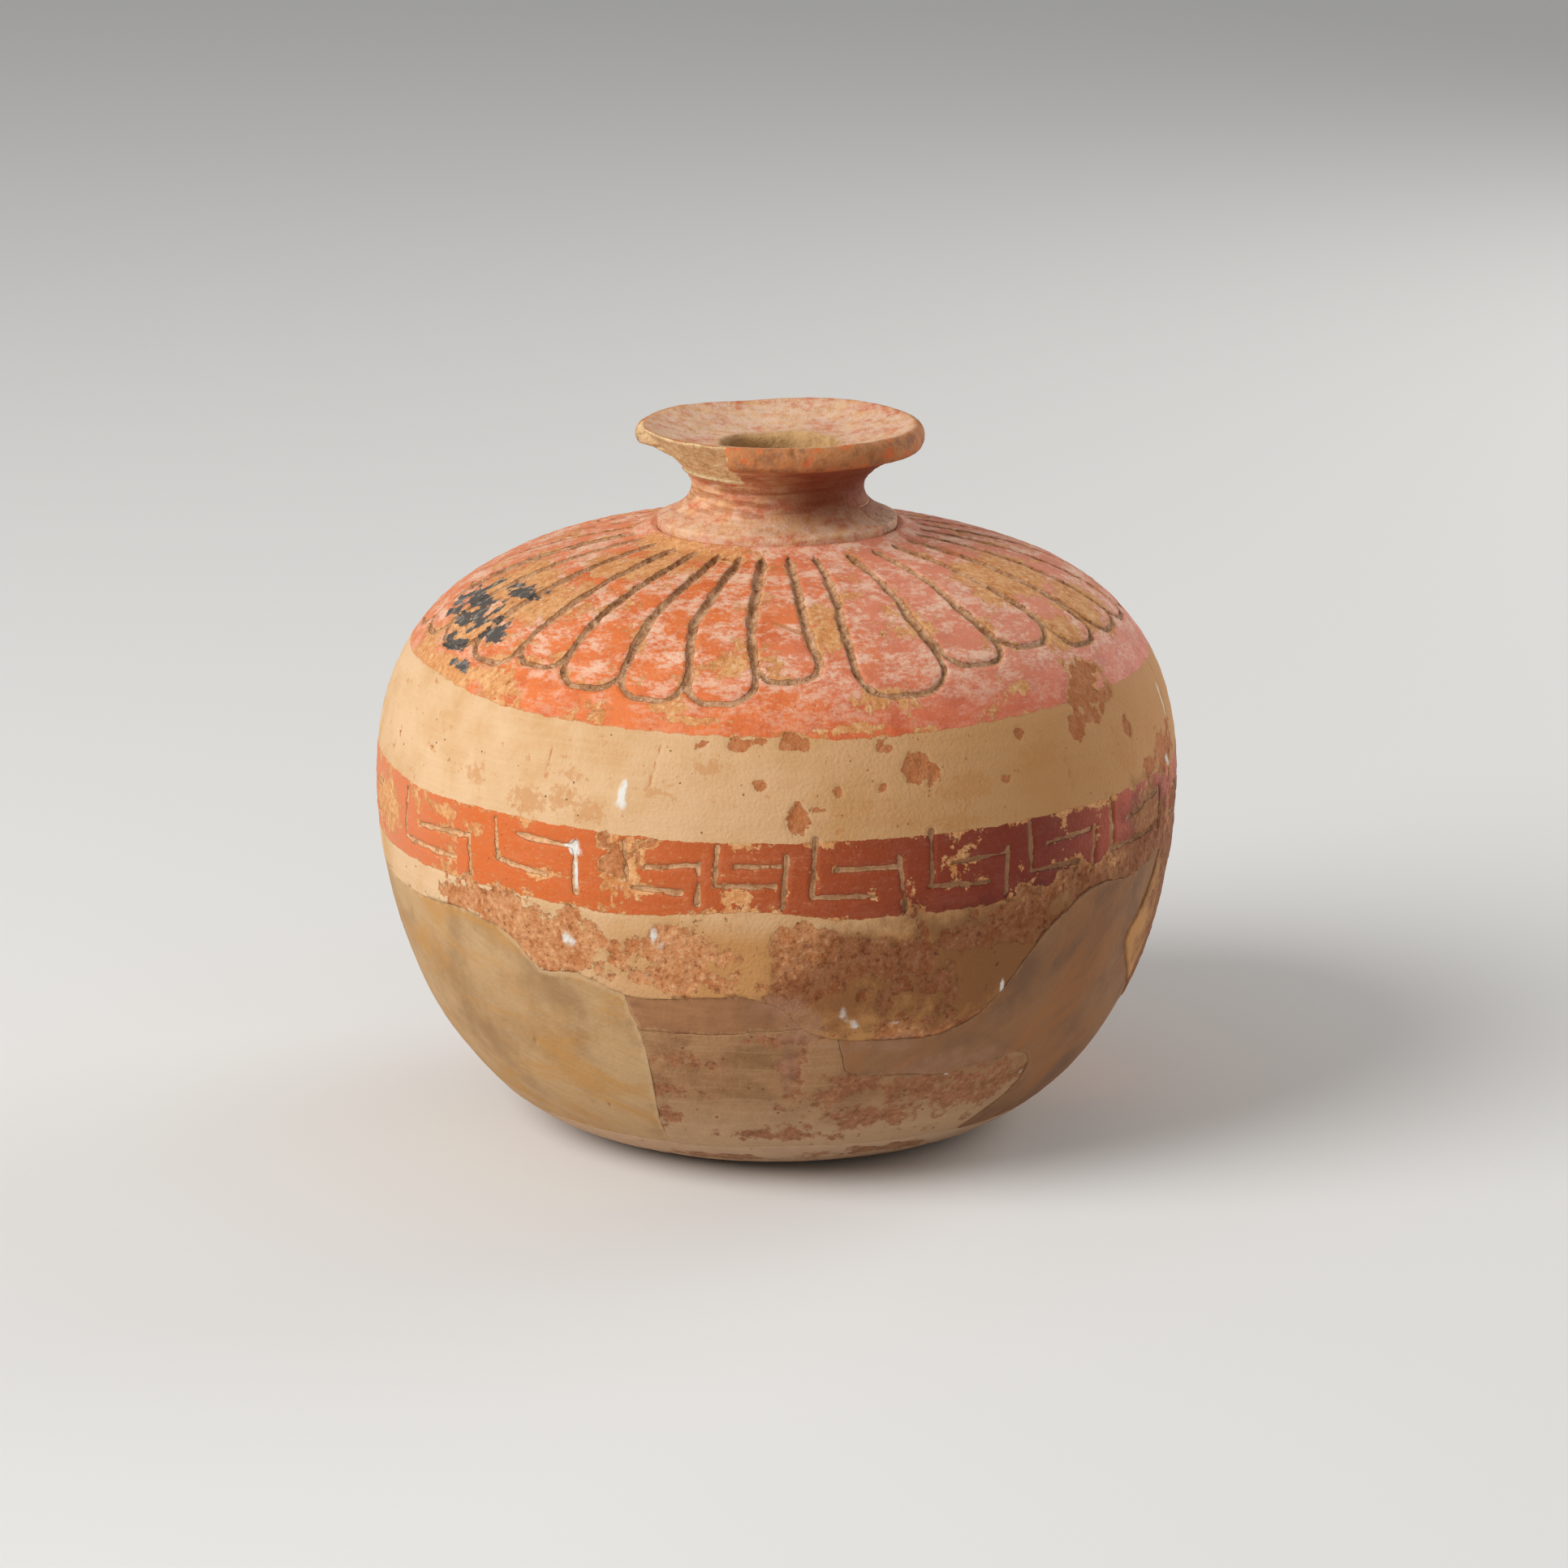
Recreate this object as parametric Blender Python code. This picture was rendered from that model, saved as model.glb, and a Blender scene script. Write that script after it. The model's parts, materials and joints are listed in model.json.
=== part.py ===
# Small painted pottery jar, broken and mended: body sherds, toned plaster fills and a re-attached neck.
# Metres, +Z up. The jar stands on z = 0 with its axis on Z.
# An azimuth is in degrees: 0 faces the front (-Y) and it grows towards the jar's right-hand side (+X).
# A level is a height on the wall: 0 at the foot, 1 at the belly, 2 at the shoulder seat.
# From 2 to 3 a level runs inwards across the seat to the neck hole.

import math

import bmesh
import bpy
from mathutils import Vector
from mathutils.bvhtree import BVHTree

MM = 0.001

# Body wall: a lower and an upper curve that meet at the belly
FOOT_RADIUS = 26.0 * MM
BELLY_RADIUS = 57.2 * MM
BELLY_HEIGHT = 49.2 * MM
SEAT_HEIGHT = 85.5 * MM
WALL = 4.5 * MM
FLOOR = 6.0 * MM
FOOT_SWEEP = 19.3 * MM
FOOT_RISE = 4.2
LOWER_BELLY_SWEEP = 23.1 * MM
UPPER_BELLY_SWEEP = 26.3 * MM
SHOULDER_SWEEP = 25.1 * MM
SHOULDER_FALL = 8.75

# Neck and mouth, turned apart from the body and set on the shoulder with a short spigot
BORE_RADIUS = 8.0 * MM
SPIGOT_WALL = 2.7 * MM
COLLAR_RADIUS = 17.0 * MM
COLLAR_EDGE = 1.5 * MM
COLLAR_SWEEP = 2.8 * MM
COLLAR_RISE = 22.0
WAIST_RADIUS = 12.2 * MM
WAIST_RISE = 6.2 * MM
WAIST_SWEEP = 2.5 * MM
MOUTH_RISE = 8.5 * MM
LIP_RADIUS = 20.5 * MM
LIP_HEIGHT = 3.3 * MM
LIP_CREST_INSET = 1.6 * MM
LIP_EDGE_INSET = 0.7 * MM
LIP_EDGE_DROP = 1.6 * MM
UNDER_LIP_DROP = 1.7 * MM
DISH_DEPTH = 2.8 * MM
DISH_SAG = 0.5 * MM
THROAT_EASE = 0.4 * MM

# Loss on the front left of the lip, a slanting break from under the crest down to the neck
CHIP_SPAN = (-95.0, -20.0)
CHIP_CREST_INSET = 1.1 * MM
CHIP_CREST_DROP = 0.4 * MM
CHIP_NECK_DEPTH = 1.0 * MM
CHIP_NECK_RISE = 2.4 * MM

# Toned fill let into the right side of the collar
COLLAR_FILL_SPAN = (62.0, 112.0)
COLLAR_FILL_DEPTH = 3.8 * MM

# Gap between neighbouring pieces, and how far a cut runs past the wall
JOINT_GAP = 0.3 * MM
CUT_REACH = 2.0 * MM

# Facets
WALL_STEPS = 72
NECK_STEPS = 48
OUTER_STEPS = 10
INNER_STEPS = 7
CURVE_STEPS = 5
BREAK_STEPS = 2
ROUND_HANDLE = 0.55
SMOOTH_ANGLE = 35.0
WALL_SAMPLES = 200
WELD = 1e-6

# Where three pieces meet on the wall, as azimuth and level
LEFT_MEETING = (-110.0, 0.80)
RIGHT_MEETING = (71.0, 0.88)
FILL_MEETING = (-22.0, 0.636)
STRIP_CORNER = (-20.6, 0.526)
STRIP_TIP = (4.0, 0.553)
LOBE_TOP = (9.0, 0.518)
FOOT_LEFT = (-21.5, 0.122)
FOOT_RIGHT = (39.0, 0.122)
FOOT_BACK_RIGHT = (95.0, 0.126)
FOOT_BACK_LEFT = (-112.0, 0.122)
FULL_TURN = 360.0
FRONT_TURN = -90.0

# Break lines that part the wall, each a smooth line through a few points
BREAKS = {
    "front_lower": [
        LEFT_MEETING, (-95, 0.80), (-80, 0.793), (-62, 0.79), (-50, 0.80), (-43, 0.78), (-40, 0.752),
        (-37, 0.695), (-35, 0.673), (-30, 0.681), (-27, 0.671), FILL_MEETING, (-17, 0.634), (-8, 0.65),
        (-3, 0.648), (1, 0.614), STRIP_TIP, LOBE_TOP, (14, 0.508), (20.5, 0.50), (26, 0.512),
        (30.5, 0.549), (35, 0.636), (38, 0.711), (41.5, 0.78), (47, 0.846), (53, 0.866), (60, 0.852),
        RIGHT_MEETING,
    ],
    "strip_lower": [STRIP_CORNER, (-14, 0.528), (-7, 0.533), (-3, 0.545), (1, 0.547), STRIP_TIP],
    "left_upright": [
        FILL_MEETING, (-21.5, 0.58), STRIP_CORNER, (-20, 0.447), (-20.2, 0.325), (-21, 0.224), FOOT_LEFT,
    ],
    "right_lobe": [
        LOBE_TOP, (9.8, 0.463), (11.5, 0.402), (20, 0.384), (28, 0.368), (34, 0.384), (40, 0.392),
        (43.5, 0.378), (45.7, 0.335), (46, 0.285), (44.5, 0.23), (41.5, 0.177), FOOT_RIGHT,
    ],
    "foot_ring": [
        FOOT_BACK_LEFT, (-70, 0.134), FOOT_LEFT, (8, 0.136), FOOT_RIGHT, (66, 0.11), FOOT_BACK_RIGHT,
        (140, 0.138), (190, 0.118), (225, 0.134), (FOOT_BACK_LEFT[0] + FULL_TURN, FOOT_BACK_LEFT[1]),
    ],
    "right_fill_back": [
        RIGHT_MEETING, (66, 0.732), (62.5, 0.657), (64.5, 0.589), (67.6, 0.535), (72, 0.467), (77, 0.41),
        (80, 0.31), (89, 0.22), FOOT_BACK_RIGHT,
    ],
    "left_fill_back": [LEFT_MEETING, (-113, 0.61), (-109, 0.407), FOOT_BACK_LEFT],
    "left_shoulder": [(-116, 3), (-116, 2), (-118, 1.71), (-112, 1.353), (-117, 1.077), LEFT_MEETING],
    "right_shoulder": [
        (69, 3), (70, 2), (72, 1.85), (78, 1.573), (80, 1.435), (78, 1.242), (74, 1.077), (72, 0.955),
        RIGHT_MEETING,
    ],
}

# A point inside each piece of the wall, as azimuth and level, with the piece's colour and roughness
WALL_PIECES = {
    "front_body_sherd": ((-10, 1.3), "C8703F", 0.75),
    "back_body_sherd": ((160, 1.0), "BC7A4C", 0.78),
    "lower_front_sherd": ((10, 0.28), "BE8459", 0.82),
    "base_sherd": ((0, 0.0), "AD7C55", 0.85),
    "left_fill": ((-60, 0.45), "A98653", 0.88),
    "centre_fill": ((-12, 0.585), "8F6443", 0.88),
    "right_fill": ((52, 0.6), "8B6C45", 0.88),
}
NECK_LOOK = ("B9835A", 0.78)
COLLAR_FILL_LOOK = ("7D5A40", 0.88)


def clear_scene():
    for old in list(bpy.data.objects):
        bpy.data.objects.remove(old, do_unlink=True)


def linear(channel):
    if channel <= 0.04045:
        return channel / 12.92
    return ((channel + 0.055) / 1.055) ** 2.4


def clay_material(name, colour, roughness):
    material = bpy.data.materials.new(name)
    material.use_nodes = True
    shader = material.node_tree.nodes["Principled BSDF"]
    channels = [linear(int(colour[i:i + 2], 16) / 255) for i in (0, 2, 4)]
    shader.inputs["Base Color"].default_value = (*channels, 1.0)
    shader.inputs["Roughness"].default_value = roughness
    shader.inputs["Metallic"].default_value = 0.0
    return material


def bezier(start, handle_a, handle_b, end, steps):
    points = []
    for i in range(steps + 1):
        t = i / steps
        u = 1 - t
        points.append(start * u ** 3 + handle_a * 3 * u * u * t + handle_b * 3 * u * t * t + end * t ** 3)
    return points


def rounded(start, corner, end, steps):
    handle_a = start.lerp(corner, ROUND_HANDLE)
    handle_b = end.lerp(corner, ROUND_HANDLE)
    return bezier(start, handle_a, handle_b, end, steps)


def polar(length, degrees):
    return Vector((length * math.cos(math.radians(degrees)), length * math.sin(math.radians(degrees))))


def lower_curve(steps):
    foot = Vector((FOOT_RADIUS, 0))
    belly = Vector((BELLY_RADIUS, BELLY_HEIGHT))
    foot_handle = foot + polar(FOOT_SWEEP, FOOT_RISE)
    belly_handle = belly - Vector((0, LOWER_BELLY_SWEEP))
    return bezier(foot, foot_handle, belly_handle, belly, steps)


def upper_curve(steps):
    belly = Vector((BELLY_RADIUS, BELLY_HEIGHT))
    seat = Vector((COLLAR_RADIUS, SEAT_HEIGHT))
    belly_handle = belly + Vector((0, UPPER_BELLY_SWEEP))
    seat_handle = seat + polar(SHOULDER_SWEEP, -SHOULDER_FALL)
    return bezier(belly, belly_handle, seat_handle, seat, steps)


def hole_radius():
    return BORE_RADIUS + SPIGOT_WALL + JOINT_GAP


def offset_inward(points, distance):
    moved = []
    for i, point in enumerate(points):
        before = points[max(i - 1, 0)]
        after = points[min(i + 1, len(points) - 1)]
        along = (after - before).normalized()
        moved.append(point + Vector((-along.y, along.x)) * distance)
    return moved


# Half section of the body: underside, outer wall, seat, neck hole, inner wall and floor
def body_section():
    outer = lower_curve(OUTER_STEPS) + upper_curve(OUTER_STEPS)[1:]
    seat = [Vector((hole_radius(), SEAT_HEIGHT)), Vector((hole_radius(), SEAT_HEIGHT - WALL))]
    middle_line = lower_curve(INNER_STEPS) + upper_curve(INNER_STEPS)[1:]
    inner = [p for p in offset_inward(middle_line, WALL) if p.y > FLOOR and p.x > hole_radius()]
    return [Vector((0, 0))] + outer + seat + inner[::-1] + [Vector((0, FLOOR))]


# Half section of the neck: bore, dished mouth, rolled lip, waist, collar and spigot
def neck_section():
    bottom = SEAT_HEIGHT - WALL
    base = SEAT_HEIGHT + JOINT_GAP
    waist = Vector((WAIST_RADIUS, SEAT_HEIGHT + WAIST_RISE))
    crest = Vector((LIP_RADIUS - LIP_CREST_INSET, waist.y + MOUTH_RISE))
    widest = Vector((LIP_RADIUS, crest.y - LIP_EDGE_DROP))
    under_lip = Vector((LIP_RADIUS - LIP_EDGE_INSET, crest.y - LIP_HEIGHT))
    throat = Vector((BORE_RADIUS + THROAT_EASE, crest.y - DISH_DEPTH))
    dish_middle = (throat + crest) / 2 - Vector((0, DISH_SAG))
    collar = Vector((COLLAR_RADIUS, base + COLLAR_EDGE))
    spigot = BORE_RADIUS + SPIGOT_WALL

    section = [Vector((BORE_RADIUS, bottom)), Vector((BORE_RADIUS, throat.y - THROAT_EASE))]
    section += [throat, dish_middle]
    section += rounded(crest, Vector((widest.x, crest.y)), widest, CURVE_STEPS)
    section += rounded(widest, Vector((widest.x, under_lip.y)), under_lip, CURVE_STEPS)[1:]
    section += rounded(under_lip, Vector((waist.x, under_lip.y - UNDER_LIP_DROP)), waist, CURVE_STEPS)[1:]
    collar_handle = collar + polar(COLLAR_SWEEP, FULL_TURN / 2 - COLLAR_RISE)
    section += bezier(waist, waist - Vector((0, WAIST_SWEEP)), collar_handle, collar, CURVE_STEPS)[1:]
    section += [Vector((COLLAR_RADIUS, base)), Vector((spigot, base)), Vector((spigot, bottom))]
    return section


def turn(degrees):
    return math.radians(degrees + FRONT_TURN)


def place(radius, azimuth, height):
    return Vector((radius * math.cos(turn(azimuth)), radius * math.sin(turn(azimuth)), height))


def mesh_object(name, bm):
    mesh = bpy.data.meshes.new(name)
    bm.to_mesh(mesh)
    bm.free()
    new = bpy.data.objects.new(name, mesh)
    bpy.context.scene.collection.objects.link(new)
    return new


# Turn a half section into a solid of revolution
def turned(name, section, closed, around):
    bm = bmesh.new()
    verts = [bm.verts.new((p.x, 0, p.y)) for p in section]
    ends = verts[1:] + verts[:1] if closed else verts[1:]
    edges = [bm.edges.new(pair) for pair in zip(verts, ends)]
    bmesh.ops.spin(bm, geom=verts + edges, cent=(0, 0, 0), axis=(0, 0, 1), angle=math.tau, steps=around,
                   use_merge=True)
    bmesh.ops.remove_doubles(bm, verts=bm.verts, dist=WELD)
    bmesh.ops.recalc_face_normals(bm, faces=bm.faces)
    return mesh_object(name, bm)


# A block with a closed section, turned through part of a circle
def turned_block(name, section, span):
    bm = bmesh.new()
    face = bm.faces.new([bm.verts.new(place(p.x, span[0], p.y)) for p in section])
    steps = max(2, round(NECK_STEPS * (span[1] - span[0]) / FULL_TURN))
    bmesh.ops.spin(bm, geom=[face], cent=(0, 0, 0), axis=(0, 0, 1), angle=math.radians(span[1] - span[0]),
                   steps=steps)
    bmesh.ops.recalc_face_normals(bm, faces=bm.faces)
    return mesh_object(name, bm)


# Evaluated copy of an object after one Boolean with a cutter, which is then removed
def booled(target, cutter, operation):
    modifier = target.modifiers.new("cut", "BOOLEAN")
    modifier.operation = operation
    modifier.solver = "EXACT"
    modifier.object = cutter
    bpy.context.view_layer.update()
    evaluated = target.evaluated_get(bpy.context.evaluated_depsgraph_get())
    result = bpy.data.meshes.new_from_object(evaluated)
    target.modifiers.clear()
    target.data = result
    bpy.data.objects.remove(cutter, do_unlink=True)


# Outer surface of the wall at a level: radius, height and outward normal in the half plane
def wall_at(level):
    if level >= 2:
        inward = (level - 2) * (COLLAR_RADIUS - hole_radius() + CUT_REACH)
        return Vector((COLLAR_RADIUS - inward, SEAT_HEIGHT)), Vector((0, 1))
    if level <= 1:
        curve = lower_curve(WALL_SAMPLES)
        height = level * BELLY_HEIGHT
    else:
        curve = upper_curve(WALL_SAMPLES)
        height = BELLY_HEIGHT + (level - 1) * (SEAT_HEIGHT - BELLY_HEIGHT)
    above = next((i for i, p in enumerate(curve) if p.y > height), len(curve) - 1)
    below = max(above - 1, 0)
    share = (height - curve[below].y) / (curve[above].y - curve[below].y)
    along = (curve[above] - curve[below]).normalized()
    return curve[below].lerp(curve[above], share), Vector((along.y, -along.x))


# Smooth line through the points of a break
def smooth_line(points, closed):
    points = [Vector(p) for p in points]
    if closed:
        lap = Vector((FULL_TURN, 0))
        ahead = points[-2] - lap
        beyond = points[1] + lap
    else:
        ahead = points[0] * 2 - points[1]
        beyond = points[-1] * 2 - points[-2]
    guides = [ahead] + points + [beyond]
    line = []
    for a, b, c, d in zip(guides, guides[1:], guides[2:], guides[3:]):
        line += bezier(b, b + (c - a) / 6, c - (d - b) / 6, c, BREAK_STEPS)[:-1]
    return line if closed else line + points[-1:]


# A thin upright ribbon along a break, running right through the wall
def break_ribbon(name, points):
    closed = points[-1][0] - points[0][0] == FULL_TURN
    bm = bmesh.new()
    rungs = []
    for azimuth, level in smooth_line(points, closed):
        surface, normal = wall_at(level)
        ends = (surface + normal * CUT_REACH, surface - normal * (WALL + CUT_REACH))
        rungs.append([bm.verts.new(place(p.x, azimuth, p.y)) for p in ends])
    following = rungs[1:] + rungs[:1] if closed else rungs[1:]
    for here, there in zip(rungs, following):
        bm.faces.new((here[0], here[1], there[1], there[0]))
    ribbon = mesh_object(name, bm)
    thickness = ribbon.modifiers.new("gap", "SOLIDIFY")
    thickness.thickness = JOINT_GAP
    thickness.offset = 0.0
    thickness.use_even_offset = True
    ribbon.modifiers.new("flat_facets", "TRIANGULATE")
    return ribbon


def loose_parts(mesh):
    bm = bmesh.new()
    bm.from_mesh(mesh)
    bmesh.ops.remove_doubles(bm, verts=bm.verts, dist=WELD)
    waiting = set(bm.faces)
    groups = []
    while waiting:
        group = set()
        edge_of_search = [waiting.pop()]
        while edge_of_search:
            face = edge_of_search.pop()
            group.add(face.index)
            near = {f for e in face.edges for f in e.link_faces} & waiting
            waiting -= near
            edge_of_search += near
        groups.append(group)
    parts = []
    for group in groups:
        part = bm.copy()
        part.faces.ensure_lookup_table()
        spare = [f for f in part.faces if f.index not in group]
        bmesh.ops.delete(part, geom=spare, context="FACES")
        parts.append(part)
    bm.free()
    return parts


def finish_piece(piece, colour, roughness):
    piece.data.materials.clear()
    piece.data.materials.append(clay_material(piece.name, colour, roughness))
    piece.data.shade_smooth()
    piece.data.set_sharp_from_angle(angle=math.radians(SMOOTH_ANGLE))


def build_wall():
    wall = turned("wall", body_section(), False, WALL_STEPS)
    for name, points in BREAKS.items():
        booled(wall, break_ribbon(name, points), "DIFFERENCE")
    parts = loose_parts(wall.data)
    bpy.data.objects.remove(wall, do_unlink=True)
    trees = [BVHTree.FromBMesh(part) for part in parts]
    for name, (probe, colour, roughness) in WALL_PIECES.items():
        surface, _ = wall_at(probe[1])
        target = place(surface.x, probe[0], surface.y)
        nearest = min(range(len(parts)), key=lambda i: trees[i].find_nearest(target)[3])
        finish_piece(mesh_object(name, parts[nearest]), colour, roughness)


def chip_section():
    waist = SEAT_HEIGHT + WAIST_RISE
    crest = waist + MOUTH_RISE
    outside = LIP_RADIUS + CUT_REACH
    low = waist + CHIP_NECK_RISE
    high = crest - CHIP_CREST_DROP
    return [Vector((WAIST_RADIUS + CHIP_NECK_DEPTH, low)), Vector((outside, low)), Vector((outside, high)),
            Vector((LIP_RADIUS - CHIP_CREST_INSET, high))]


def collar_section(grow):
    inside = COLLAR_RADIUS - COLLAR_FILL_DEPTH - grow
    outside = COLLAR_RADIUS + CUT_REACH
    low = SEAT_HEIGHT + JOINT_GAP - CUT_REACH
    high = SEAT_HEIGHT + WAIST_RISE
    return [Vector((inside, low)), Vector((outside, low)), Vector((outside, high)), Vector((inside, high))]


def build_neck():
    neck = turned("neck_and_mouth", neck_section(), True, NECK_STEPS)
    booled(neck, turned_block("lip_loss", chip_section(), CHIP_SPAN), "DIFFERENCE")
    fill = bpy.data.objects.new("collar_fill", neck.data.copy())
    bpy.context.scene.collection.objects.link(fill)
    booled(fill, turned_block("fill_block", collar_section(0), COLLAR_FILL_SPAN), "INTERSECT")
    edge = math.degrees(JOINT_GAP / (COLLAR_RADIUS - COLLAR_FILL_DEPTH))
    wide_span = (COLLAR_FILL_SPAN[0] - edge, COLLAR_FILL_SPAN[1] + edge)
    booled(neck, turned_block("fill_pocket", collar_section(JOINT_GAP), wide_span), "DIFFERENCE")
    finish_piece(neck, *NECK_LOOK)
    finish_piece(fill, *COLLAR_FILL_LOOK)


clear_scene()
build_wall()
build_neck()
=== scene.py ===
from functools import partial
import json
import math
import bmesh
import bpy
import numpy as np
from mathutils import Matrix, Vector
from mathutils.bvhtree import BVHTree
from mathutils.kdtree import KDTree

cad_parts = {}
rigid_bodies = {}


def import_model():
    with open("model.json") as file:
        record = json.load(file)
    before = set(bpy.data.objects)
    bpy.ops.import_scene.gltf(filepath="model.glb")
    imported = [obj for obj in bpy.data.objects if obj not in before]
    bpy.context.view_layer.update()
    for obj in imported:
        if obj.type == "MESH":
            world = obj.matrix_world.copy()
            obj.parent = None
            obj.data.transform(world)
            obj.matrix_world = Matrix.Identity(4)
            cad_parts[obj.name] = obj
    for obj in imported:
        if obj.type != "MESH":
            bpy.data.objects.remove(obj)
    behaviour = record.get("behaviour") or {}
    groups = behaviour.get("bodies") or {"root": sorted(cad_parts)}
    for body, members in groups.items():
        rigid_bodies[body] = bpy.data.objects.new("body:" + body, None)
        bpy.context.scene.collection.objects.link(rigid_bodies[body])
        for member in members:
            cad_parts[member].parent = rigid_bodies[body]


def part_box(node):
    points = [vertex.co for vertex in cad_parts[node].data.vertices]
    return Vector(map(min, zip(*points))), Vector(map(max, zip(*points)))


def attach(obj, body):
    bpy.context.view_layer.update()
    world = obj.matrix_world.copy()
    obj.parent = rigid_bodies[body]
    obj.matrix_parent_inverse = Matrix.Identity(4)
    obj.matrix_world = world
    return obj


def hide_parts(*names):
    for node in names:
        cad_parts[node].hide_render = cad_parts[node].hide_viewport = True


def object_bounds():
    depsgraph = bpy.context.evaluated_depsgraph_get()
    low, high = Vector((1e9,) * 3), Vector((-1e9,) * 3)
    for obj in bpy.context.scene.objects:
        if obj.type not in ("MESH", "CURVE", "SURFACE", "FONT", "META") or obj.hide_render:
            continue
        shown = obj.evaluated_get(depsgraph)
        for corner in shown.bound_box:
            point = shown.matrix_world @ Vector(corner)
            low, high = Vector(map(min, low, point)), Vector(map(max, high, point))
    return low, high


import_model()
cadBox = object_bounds()
mm = 0.001
weld = 0.000001   # metres
farAway = 9.0     # mm or half widths, past which a distance no longer counts

# The jar's turned shape in millimetres and degrees, the same curves as the solids
jar = {
    "bellyRadius": (cadBox[1].x - cadBox[0].x) / 2 / mm,
    "bellyHeight": 49.2,
    "seatHeight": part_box("back_body_sherd")[1].z / mm,
    "footRadius": 26.0,
    "footSweep": 19.3,
    "footRise": 4.2,
    "lowerSweep": 23.1,
    "upperSweep": 26.3,
    "shoulderSweep": 25.1,
    "shoulderFall": 8.75,
    "collarRadius": 17.0,
    "holeRadius": 11.0,
    "wall": 4.5,
    "floor": 6.0,
    "centreHeight": 45.0,   # every wall point is in plain sight of this point on the axis
    "columns": 840,
    "rows": [(30.0, 0.9), (43.0, 0.7), (55.5, 0.4), (68.0, 0.6), (90.0, 0.46)],   # top, spacing
    "innerRows": 12,
    "lastRow": 0.5,           # the least height of the top row
    "skin": 0.05,             # points this near the outer curve are outside
}


def bezier(start, handleA, handleB, end, count):
    t = np.linspace(0, 1, count + 1)[:, None]
    u = 1 - t
    points = [np.array(p, float) for p in (start, handleA, handleB, end)]
    return points[0] * u ** 3 + points[1] * 3 * u * u * t + points[2] * 3 * u * t * t + points[3] * t ** 3


def polar(length, degrees):
    return np.array([length * math.cos(math.radians(degrees)), length * math.sin(math.radians(degrees))])


foot = np.array([jar["footRadius"], 0.0])
belly = np.array([jar["bellyRadius"], jar["bellyHeight"]])
seat = np.array([jar["collarRadius"], jar["seatHeight"]])
lowerCurve = bezier(foot, foot + polar(jar["footSweep"], jar["footRise"]),
                    belly - (0, jar["lowerSweep"]), belly, 400)
upperCurve = bezier(belly, belly + (0, jar["upperSweep"]),
                    seat + polar(jar["shoulderSweep"], -jar["shoulderFall"]), seat, 400)
outerCurve = np.vstack([lowerCurve, upperCurve[1:]])
arcAlong = np.concatenate([[0], np.cumsum(np.hypot(*np.diff(outerCurve, axis=0).T))])
alongCurve = np.gradient(outerCurve, axis=0)
alongCurve /= np.hypot(alongCurve[:, 0], alongCurve[:, 1])[:, None]
outwardCurve = np.column_stack([alongCurve[:, 1], -alongCurve[:, 0]])


def pointsAlong(at, stations, curve):   # a plane curve's points, at some of its stations
    return np.column_stack([np.interp(at, stations, curve[:, axis]) for axis in (0, 1)])


def curveAt(height, values):
    return np.interp(height, outerCurve[:, 1], values)


def wallSection():
    rows = [0.0]
    while rows[-1] < arcAlong[-1] - jar["lastRow"]:
        height = np.interp(rows[-1], arcAlong, outerCurve[:, 1])
        rows.append(rows[-1] + next(step for top, step in jar["rows"] if height < top))
    rows[-1] = arcAlong[-1]
    outer = [tuple(p) for p in pointsAlong(rows, arcAlong, outerCurve)]
    inner = outerCurve - outwardCurve * jar["wall"]
    inner = [tuple(p) for p in inner[::len(inner) // (2 * jar["innerRows"])]
             if p[1] > jar["floor"] and p[0] > jar["holeRadius"]]
    hole = [(jar["holeRadius"], jar["seatHeight"]), (jar["holeRadius"], jar["seatHeight"] - jar["wall"])]
    underside = [(0, 0), (foot[0] / 3, 0), (foot[0] * 2 / 3, 0)]
    return underside + outer + hole + inner[::-1] + [(0, jar["floor"])]


def meshObject(name, bm):
    mesh = bpy.data.meshes.new(name)
    bm.to_mesh(mesh)
    bm.free()
    piece = bpy.data.objects.new(name, mesh)
    bpy.context.scene.collection.objects.link(piece)
    return piece


def applied(piece):   # the piece with its modifiers made real
    bpy.context.view_layer.update()
    evaluated = piece.evaluated_get(bpy.context.evaluated_depsgraph_get())
    mesh = bpy.data.meshes.new_from_object(evaluated)
    piece.modifiers.clear()
    piece.data = mesh
    return piece


def turned(name, section, columns, closed):   # a half section in mm, turned once round the axis
    bm = bmesh.new()
    verts = [bm.verts.new((r * mm, 0, z * mm)) for r, z in section]
    for a, b in zip(verts, verts[1:] + verts[:1] if closed else verts[1:]):
        bm.edges.new((a, b))
    piece = meshObject(name, bm)
    lathe = piece.modifiers.new("lathe", "SCREW")
    lathe.steps = columns
    lathe.render_steps = columns
    lathe.use_merge_vertices = True
    lathe.merge_threshold = weld
    applied(piece)
    bm = bmesh.new()
    bm.from_mesh(piece.data)
    poles = [v for v in bm.verts if v.co.xy.length < weld]
    bmesh.ops.remove_doubles(bm, verts=poles, dist=weld)
    bmesh.ops.recalc_face_normals(bm, faces=bm.faces)
    bm.to_mesh(piece.data)
    bm.free()
    return piece


def cutBy(piece, cutter, operation):
    cut = piece.modifiers.new("cut", "BOOLEAN")
    cut.operation = operation
    cut.solver = "MANIFOLD"
    cut.object = cutter
    applied(piece)
    bpy.data.objects.remove(cutter, do_unlink=True)


def inOrder(piece):   # a big cut runs on several threads, which leave points and faces in any order
    bm = bmesh.new()
    bm.from_mesh(piece.data)
    rank = {v: i for i, v in enumerate(sorted(bm.verts, key=lambda v: tuple(v.co)))}
    bm.verts.sort(key=rank.get)
    rank = {f: i for i, f in enumerate(sorted(bm.faces, key=lambda f: sorted(rank[v] for v in f.verts)))}
    bm.faces.sort(key=rank.get)
    bm.to_mesh(piece.data)
    bm.free()


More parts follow.
